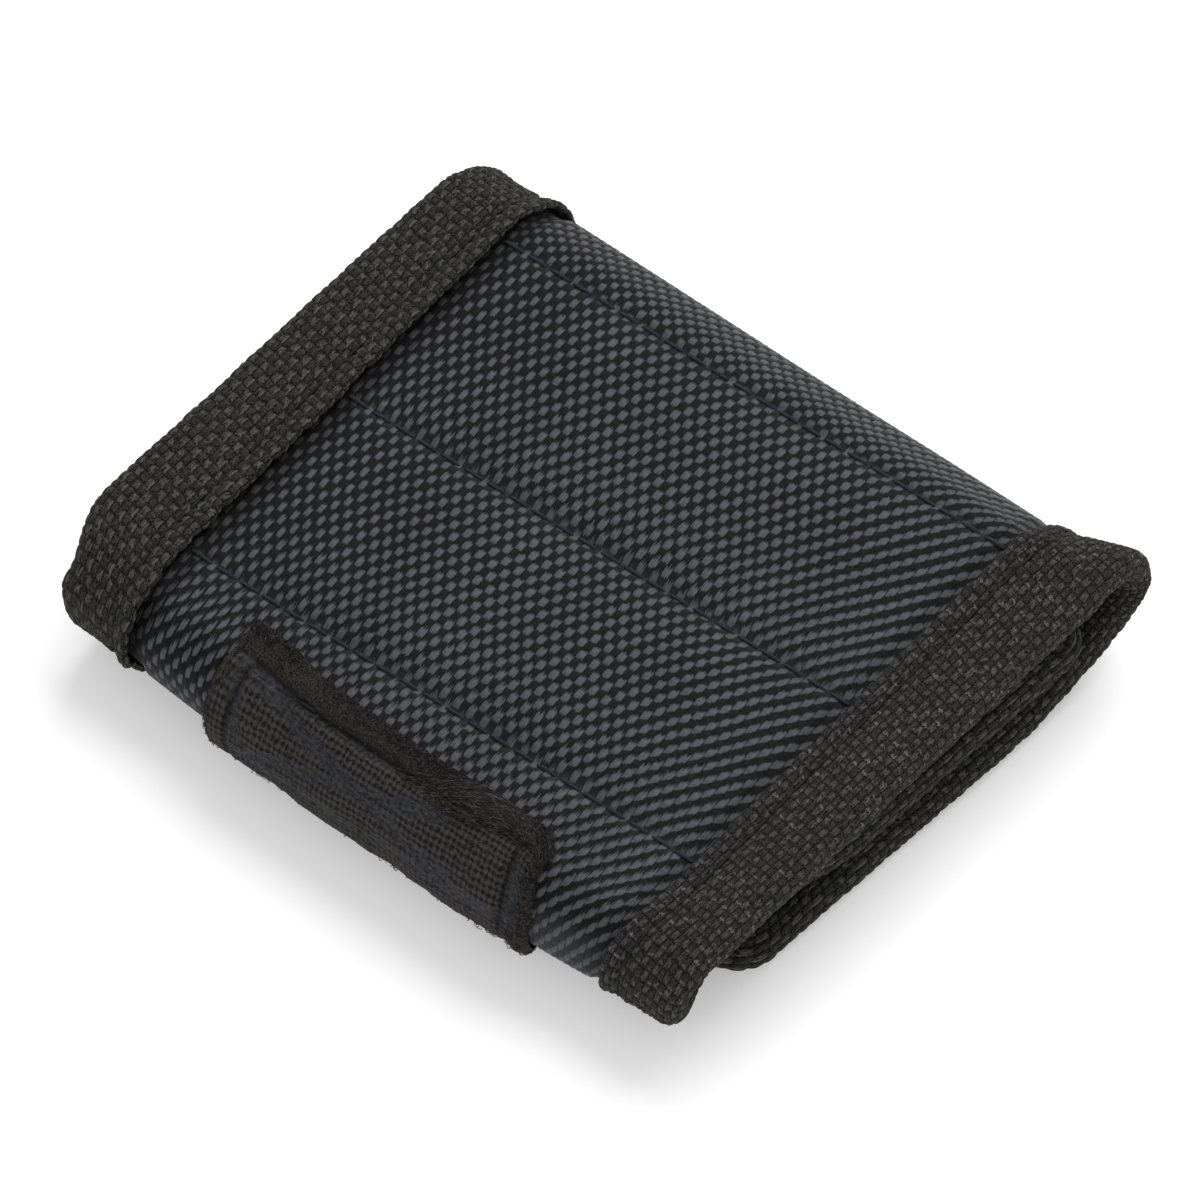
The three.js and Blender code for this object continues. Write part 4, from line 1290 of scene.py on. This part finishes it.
def make_loop_fuzz():
    """Fibres that stand up in small arcs, most of them along the rim."""
    draw = np.random.default_rng(SEEDS["fuzz"])
    share = draw.random(FUZZ_COUNT)
    along = loop_from + draw.random(FUZZ_COUNT) * (loop_to - loop_from)
    across = (2 * draw.random(FUZZ_COUNT) - 1) * half_patch
    inset = np.abs(draw.normal(0, FUZZ_SPREAD, FUZZ_COUNT))
    rim_side = np.where(share < FUZZ_ON_RIM, draw.integers(0, 4, FUZZ_COUNT), -1)
    across = np.where(rim_side == 0, half_patch - inset, across)
    across = np.where(rim_side == 1, inset - half_patch, across)
    along = np.where(rim_side > 1, loop_from + inset, along)
    turn = draw.random(FUZZ_COUNT) * TURN
    span = 0.35 + 0.6 * draw.random(FUZZ_COUNT)
    tall = 0.1 + 0.3 * draw.random(FUZZ_COUNT) ** 2
    bow = np.linspace(-1, 1, 6)
    along = along[:, None] + (0.5 * span * np.cos(turn))[:, None] * bow
    across = across[:, None] + (0.5 * span * np.sin(turn))[:, None] * bow
    along = along + FUZZ_JITTER * draw.normal(0, 1, along.shape)
    across = across + FUZZ_JITTER * draw.normal(0, 1, across.shape)
    along = np.clip(along, loop_from - FUZZ_MARGIN, loop_to + FUZZ_MARGIN)
    across = np.clip(across, -half_patch - FUZZ_MARGIN, half_patch + FUZZ_MARGIN)
    rise, _ = loop_height(along, across)
    height = np.maximum(rise, 0.3) + tall[:, None] * (1 - bow ** 2) - 0.05
    make_fibres("loop_patch_fuzz", along, across, height, FUZZ_FIBRE)


def make_loop_lock():
    """Long fibres brushed out of the patch, lying along its first edge in a soft lock."""
    draw = np.random.default_rng(SEEDS["lock"])
    gone = np.linspace(0, 1, 14)
    first = LOCK_MIDDLE - LOCK_HALF + 1.2 * draw.normal(0, 1, LOCK_COUNT)
    last = LOCK_MIDDLE + LOCK_HALF + 2.0 * draw.normal(0, 1, LOCK_COUNT)
    lane = draw.random(LOCK_COUNT)[:, None]
    bow = np.sin(np.pi * gone)
    across = first[:, None] + (last - first)[:, None] * gone
    from_start = 2.6 + 0.5 * lane + 1.2 * gone + (2.6 * lane - 2.5) * bow
    from_start = from_start + 0.12 * np.cumsum(draw.normal(0, 1, from_start.shape), axis=1)
    across = np.clip(across, -half_patch, half_patch)
    along = loop_from + np.clip(from_start, 0, None)
    rise, _ = loop_height(along, across)
    height = rise + (0.05 + 0.5 * draw.random(LOCK_COUNT))[:, None] * bow
    make_fibres("loop_patch_lock", along, across, height, LOCK_FIBRE)


def make_hook_patch():
    """The hook patch's woven base, its hooks and its seam."""
    along, across = patch_grid(hook_from, hook_to, HOOK_STEP)
    rise, _ = patch_rise(along, across, (hook_from, hook_to), HOOK_BASE)
    rise = np.maximum(rise, 0.12) + 0.05 * noise(along / 0.8, across / 0.8, "hook_base")
    points = strip_points(along, across, panel + PLY_GAP + rise)
    uv = np.stack([along, across], -1)
    piece = make_piece("hook_patch_base", points, [grid_faces(*along.shape)], finishes["hook"], uv)
    follow_bodies(piece, "flap", ["hook_patch"])
    make_hooks()
    make_patch_seam("hook_patch_seam", "flap", (hook_from, hook_to), HOOK_BASE + STITCH_END_DIP, 1)


def make_hooks():
    """Rows of bent hooks, each leaning its own way."""
    draw = np.random.default_rng(SEEDS["hooks"])
    margin = PATCH_SEAM_INSET + 1
    rows = np.arange(hook_from + margin, hook_to - margin, HOOK_PITCH_ALONG)
    columns = np.arange(margin - half_patch, half_patch - margin, HOOK_PITCH_ACROSS)
    along, across = (grid.ravel() for grid in np.meshgrid(rows, columns, indexing="ij"))
    along = along + draw.normal(0, HOOK_JITTER, along.shape)
    across = across + draw.normal(0, HOOK_JITTER, across.shape)
    lean = draw.normal(0, HOOK_LEAN, along.shape) + np.pi * draw.integers(0, 2, along.shape)
    turn = np.linspace(0, HOOK_TURN, 9)
    out = HOOK_OUT * (1 - np.cos(turn))
    up = HOOK_STEM * np.minimum(turn / (np.pi / 2), 1) + HOOK_BOW * np.sin(np.clip(turn, 0, np.pi))
    up = up - HOOK_DROP * np.clip(turn - np.pi, 0, None)
    along = along[:, None] + np.cos(lean)[:, None] * out
    across = across[:, None] + np.sin(lean)[:, None] * out
    lines = strip_points(along, across, panel + PLY_GAP + HOOK_THICKNESS - HOOK_STEM - HOOK_BOW + up)
    sideways = np.stack([-np.sin(lean), np.cos(lean), np.zeros_like(lean)], -1)
    ups = np.broadcast_to(sideways[:, None], lines.shape)
    piece = make_tubes("hook_patch_hooks", lines, ups, HOOK_RADIUS, finishes["hook"], sides=6)
    follow_bodies(piece, "flap", ["hook_patch"])


# Padding with its magnet windows


def magnet_windows(seam, half):
    """The pad's windows in the pocket that starts at a seam: from and to along it, from and to across it."""
    spacing = 2 * half / MAGNETS_PER_POCKET
    long_half = (pocket_pitch - MAGNET_SEAM_ROOM) / 2 + MAGNET_CLEARANCE
    wide_half = (spacing - MAGNET_RIB) / 2 + MAGNET_CLEARANCE
    middle = seam + pocket_pitch / 2
    centres = (np.arange(MAGNETS_PER_POCKET) - (MAGNETS_PER_POCKET - 1) / 2) * spacing
    return [(middle - long_half, middle + long_half, c - wide_half, c + wide_half) for c in centres]


def subdivide(breaks):
    """Places from the first break to the last, with each break among them."""
    breaks = sorted(set(breaks))
    parts = []
    for first, last in zip(breaks, breaks[1:]):
        count = max(2, round((last - first) / PAD_STEP))
        parts.append(np.linspace(first, last, count + 1)[:-1])
    return np.concatenate([*parts, [breaks[-1]]])


def make_pad(name, limits, zone, node, seam=None):
    """A foam pad with rounded edges, and a window for each magnet where it fills a pocket."""
    half = half_width - pad_margin
    first, last = limits
    windows = [] if seam is None else magnet_windows(seam, half)
    rows = subdivide([first, last, *(place for window in windows for place in window[:2])])
    columns = subdivide([-half, half, *(place for window in windows for place in window[2:])])
    along, across = np.meshgrid(rows, columns, indexing="ij")
    mid_along = (rows[1:] + rows[:-1])[:, None] / 2
    mid_across = (columns[1:] + columns[:-1])[None] / 2
    kept = np.ones((len(rows) - 1, len(columns) - 1), bool)
    to_edge = np.minimum(np.minimum(along - first, last - along), half - np.abs(across))
    for low, high, left, right in windows:
        kept &= ~((mid_along > low) & (mid_along < high) & (mid_across > left) & (mid_across < right))
        outside = np.maximum(np.maximum(low - along, along - high), np.maximum(left - across, across - right))
        to_edge = np.minimum(to_edge, np.abs(outside))
    drop = PAD_ROUND * (1 - rounded(to_edge, PAD_ROUND))
    outer = FABRIC_THICKNESS + PLY_GAP - PAD_CROWN * crown(along, across) + drop
    inner = panel - LINING_THICKNESS - PLY_GAP - drop
    points = np.concatenate([strip_points(along, across, depth).reshape(-1, 3) for depth in (outer, inner)])
    index = np.arange(along.size).reshape(along.shape)
    quads = grid_cells(index)[kept]
    padded = np.pad(kept, 1)
    walls = []
    for step_row, step_column, a, b in ((-1, 0, (0, 0), (0, 1)), (1, 0, (1, 1), (1, 0)),
                                        (0, -1, (1, 0), (0, 0)), (0, 1, (0, 1), (1, 1))):
        beside = np.roll(padded, (-step_row, -step_column), (0, 1))[1:-1, 1:-1]
        row, column = np.nonzero(kept & ~beside)
        start = index[row + a[0], column + a[1]]
        stop = index[row + b[0], column + b[1]]
        walls.append(np.stack([start, stop, stop + along.size, start + along.size], -1))
    faces = [quads[:, ::-1], quads + along.size, np.concatenate(walls)]
    piece = make_piece(name, points, faces, finishes["foam"])
    follow_bodies(piece, zone, [node], panel / 2)


def make_pads():
    """All foam pads: in the flap, in the pockets, round the folds and in the tongue."""
    make_pad("pad_flap_end", (pad_margin, flap_seams[0] - PAD_INSET), "flap", "flap_padding_end")
    pockets = [("pad_flap_pocket", flap_seams[0], "flap", "flap_padding_pocket")]
    pockets += [(f"pad_top_{i + 1}", pocket_seams[i], "top", f"top_padding_{i + 1}") for i in range(2)]
    for name, seam, zone, node in pockets:
        make_pad(name, (seam + PAD_INSET, seam + pocket_pitch - PAD_INSET), zone, node, seam)
    make_pad("pad_fold_low", (flap_seams[1] + PAD_INSET, fold_middle), "flap_fold", "fold_padding")
    make_pad("pad_fold_high", (fold_middle, pocket_seams[0] - PAD_INSET), "fold_top", "fold_padding")
    make_pad("pad_tongue_fold", (flex_shoulder + PAD_INSET, tongue_start), "tongue", "tongue_padding_fold")
    make_pad("pad_tongue", (tongue_start + PAD_INSET, strip_end - pad_margin), "tongue", "tongue_padding")


def dress_magnets():
    """The magnets keep their CAD shape and get their finish."""
    for name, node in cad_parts.items():
        if "_magnet_" in name:
            node.data.materials.clear()
            node.data.materials.append(finishes["magnet"])


# Stage, light and camera
FLOOR_HALF = 3.0
FLOOR_GAP = 0.5
FLOOR_GLOW = 0.26
ROOM_LIGHT = 0.5
CAMERA_TURN = math.radians(-50.83)
CAMERA_ELEVATION = math.radians(49.55)
CAMERA_DISTANCE = 6.0
SENSOR = 36.0
FRAME_PIXELS = 1200
PIXELS_PER_MM = 9.4
AIM_POINT = (2.85, 0, 8.32)  # a point of the band, and where the photograph shows it
AIM_PIXEL = (609.4, 590.4)


def make_floor():
    """A pale floor that shows white to the camera and keeps the shadow."""
    made = Finish("pale_floor", roughness=0.9, specular=0.05)
    grain = made.noise(made.solid_places(), 40.0, 2.0)
    made.finish(made.mix(grain, (0.78, 0.78, 0.78, 1), (0.82, 0.82, 0.82, 1)))
    rays = made.tree.nodes.new("ShaderNodeLightPath").outputs
    seen = Value(made, rays["Is Camera Ray"]) + Value(made, rays["Is Glossy Ray"])
    made.shader["Emission Color"].default_value = (1, 1, 1, 1)
    made.put(made.shader["Emission Strength"], seen * FLOOR_GLOW)
    corners = np.array([[-1, -1, 0], [1, -1, 0], [1, 1, 0], [-1, 1, 0]]) * FLOOR_HALF / MM
    corners[:, 2] = -FLOOR_GAP
    floor = make_piece("floor", corners, [np.array([[0, 1, 2, 3]])], made.material)


def make_lights():
    """A bright even room with a broad soft lamp from the right and back."""
    world = bpy.data.worlds.new("studio")
    bpy.context.scene.world = world
    world.use_nodes = True
    tree = world.node_tree
    background = tree.nodes["Background"]
    background.inputs["Color"].default_value = (1, 1, 1, 1)
    rays = tree.nodes.new("ShaderNodeLightPath")
    level = tree.nodes.new("ShaderNodeMapRange")
    level.inputs["To Min"].default_value = ROOM_LIGHT
    level.inputs["To Max"].default_value = 1.0
    tree.links.new(rays.outputs["Is Camera Ray"], level.inputs["Value"])
    tree.links.new(level.outputs["Result"], background.inputs["Strength"])
    lamps = [("key", (0.55, 0.1, 0.75), 0.8, 8.0), ("fill", (-0.7, -0.5, 0.45), 0.9, 5.0)]
    for name, place, size, power in lamps:
        light = bpy.data.lights.new(name, "AREA")
        light.size = size
        light.energy = power
        lamp = bpy.data.objects.new(name, light)
        lamp.location = place
        lamp.rotation_euler = Vector(place).to_track_quat("Z", "Y").to_euler()
        bpy.context.scene.collection.objects.link(lamp)


def make_camera():
    """The photograph's view: high from the near left corner, through a very long lens."""
    turn_sin, turn_cos = math.sin(CAMERA_TURN), math.cos(CAMERA_TURN)
    high_sin, high_cos = math.sin(CAMERA_ELEVATION), math.cos(CAMERA_ELEVATION)
    right = Vector((turn_cos, turn_sin, 0))
    back = Vector((turn_sin * high_cos, -turn_cos * high_cos, high_sin))
    up = back.cross(right)
    middle = FRAME_PIXELS / 2
    aim = Vector(AIM_POINT)
    aim += right * (middle - AIM_PIXEL[0]) / PIXELS_PER_MM
    aim -= up * (middle - AIM_PIXEL[1]) / PIXELS_PER_MM
    data = bpy.data.cameras.new("camera")
    data.sensor_width = SENSOR
    data.lens = PIXELS_PER_MM * SENSOR / FRAME_PIXELS * CAMERA_DISTANCE / MM
    camera = bpy.data.objects.new("camera", data)
    camera.matrix_world = Matrix((right, up, back)).transposed().to_4x4()
    camera.location = aim * MM + back * CAMERA_DISTANCE
    bpy.context.scene.collection.objects.link(camera)
    bpy.context.scene.camera = camera


make_camera()
make_cover()
make_lining()
make_bindings()
make_cross_seams()
make_loop_patch()
make_hook_patch()
make_pads()
dress_magnets()
make_floor()
make_lights()
bpy.context.scene.view_settings.view_transform = "Standard"
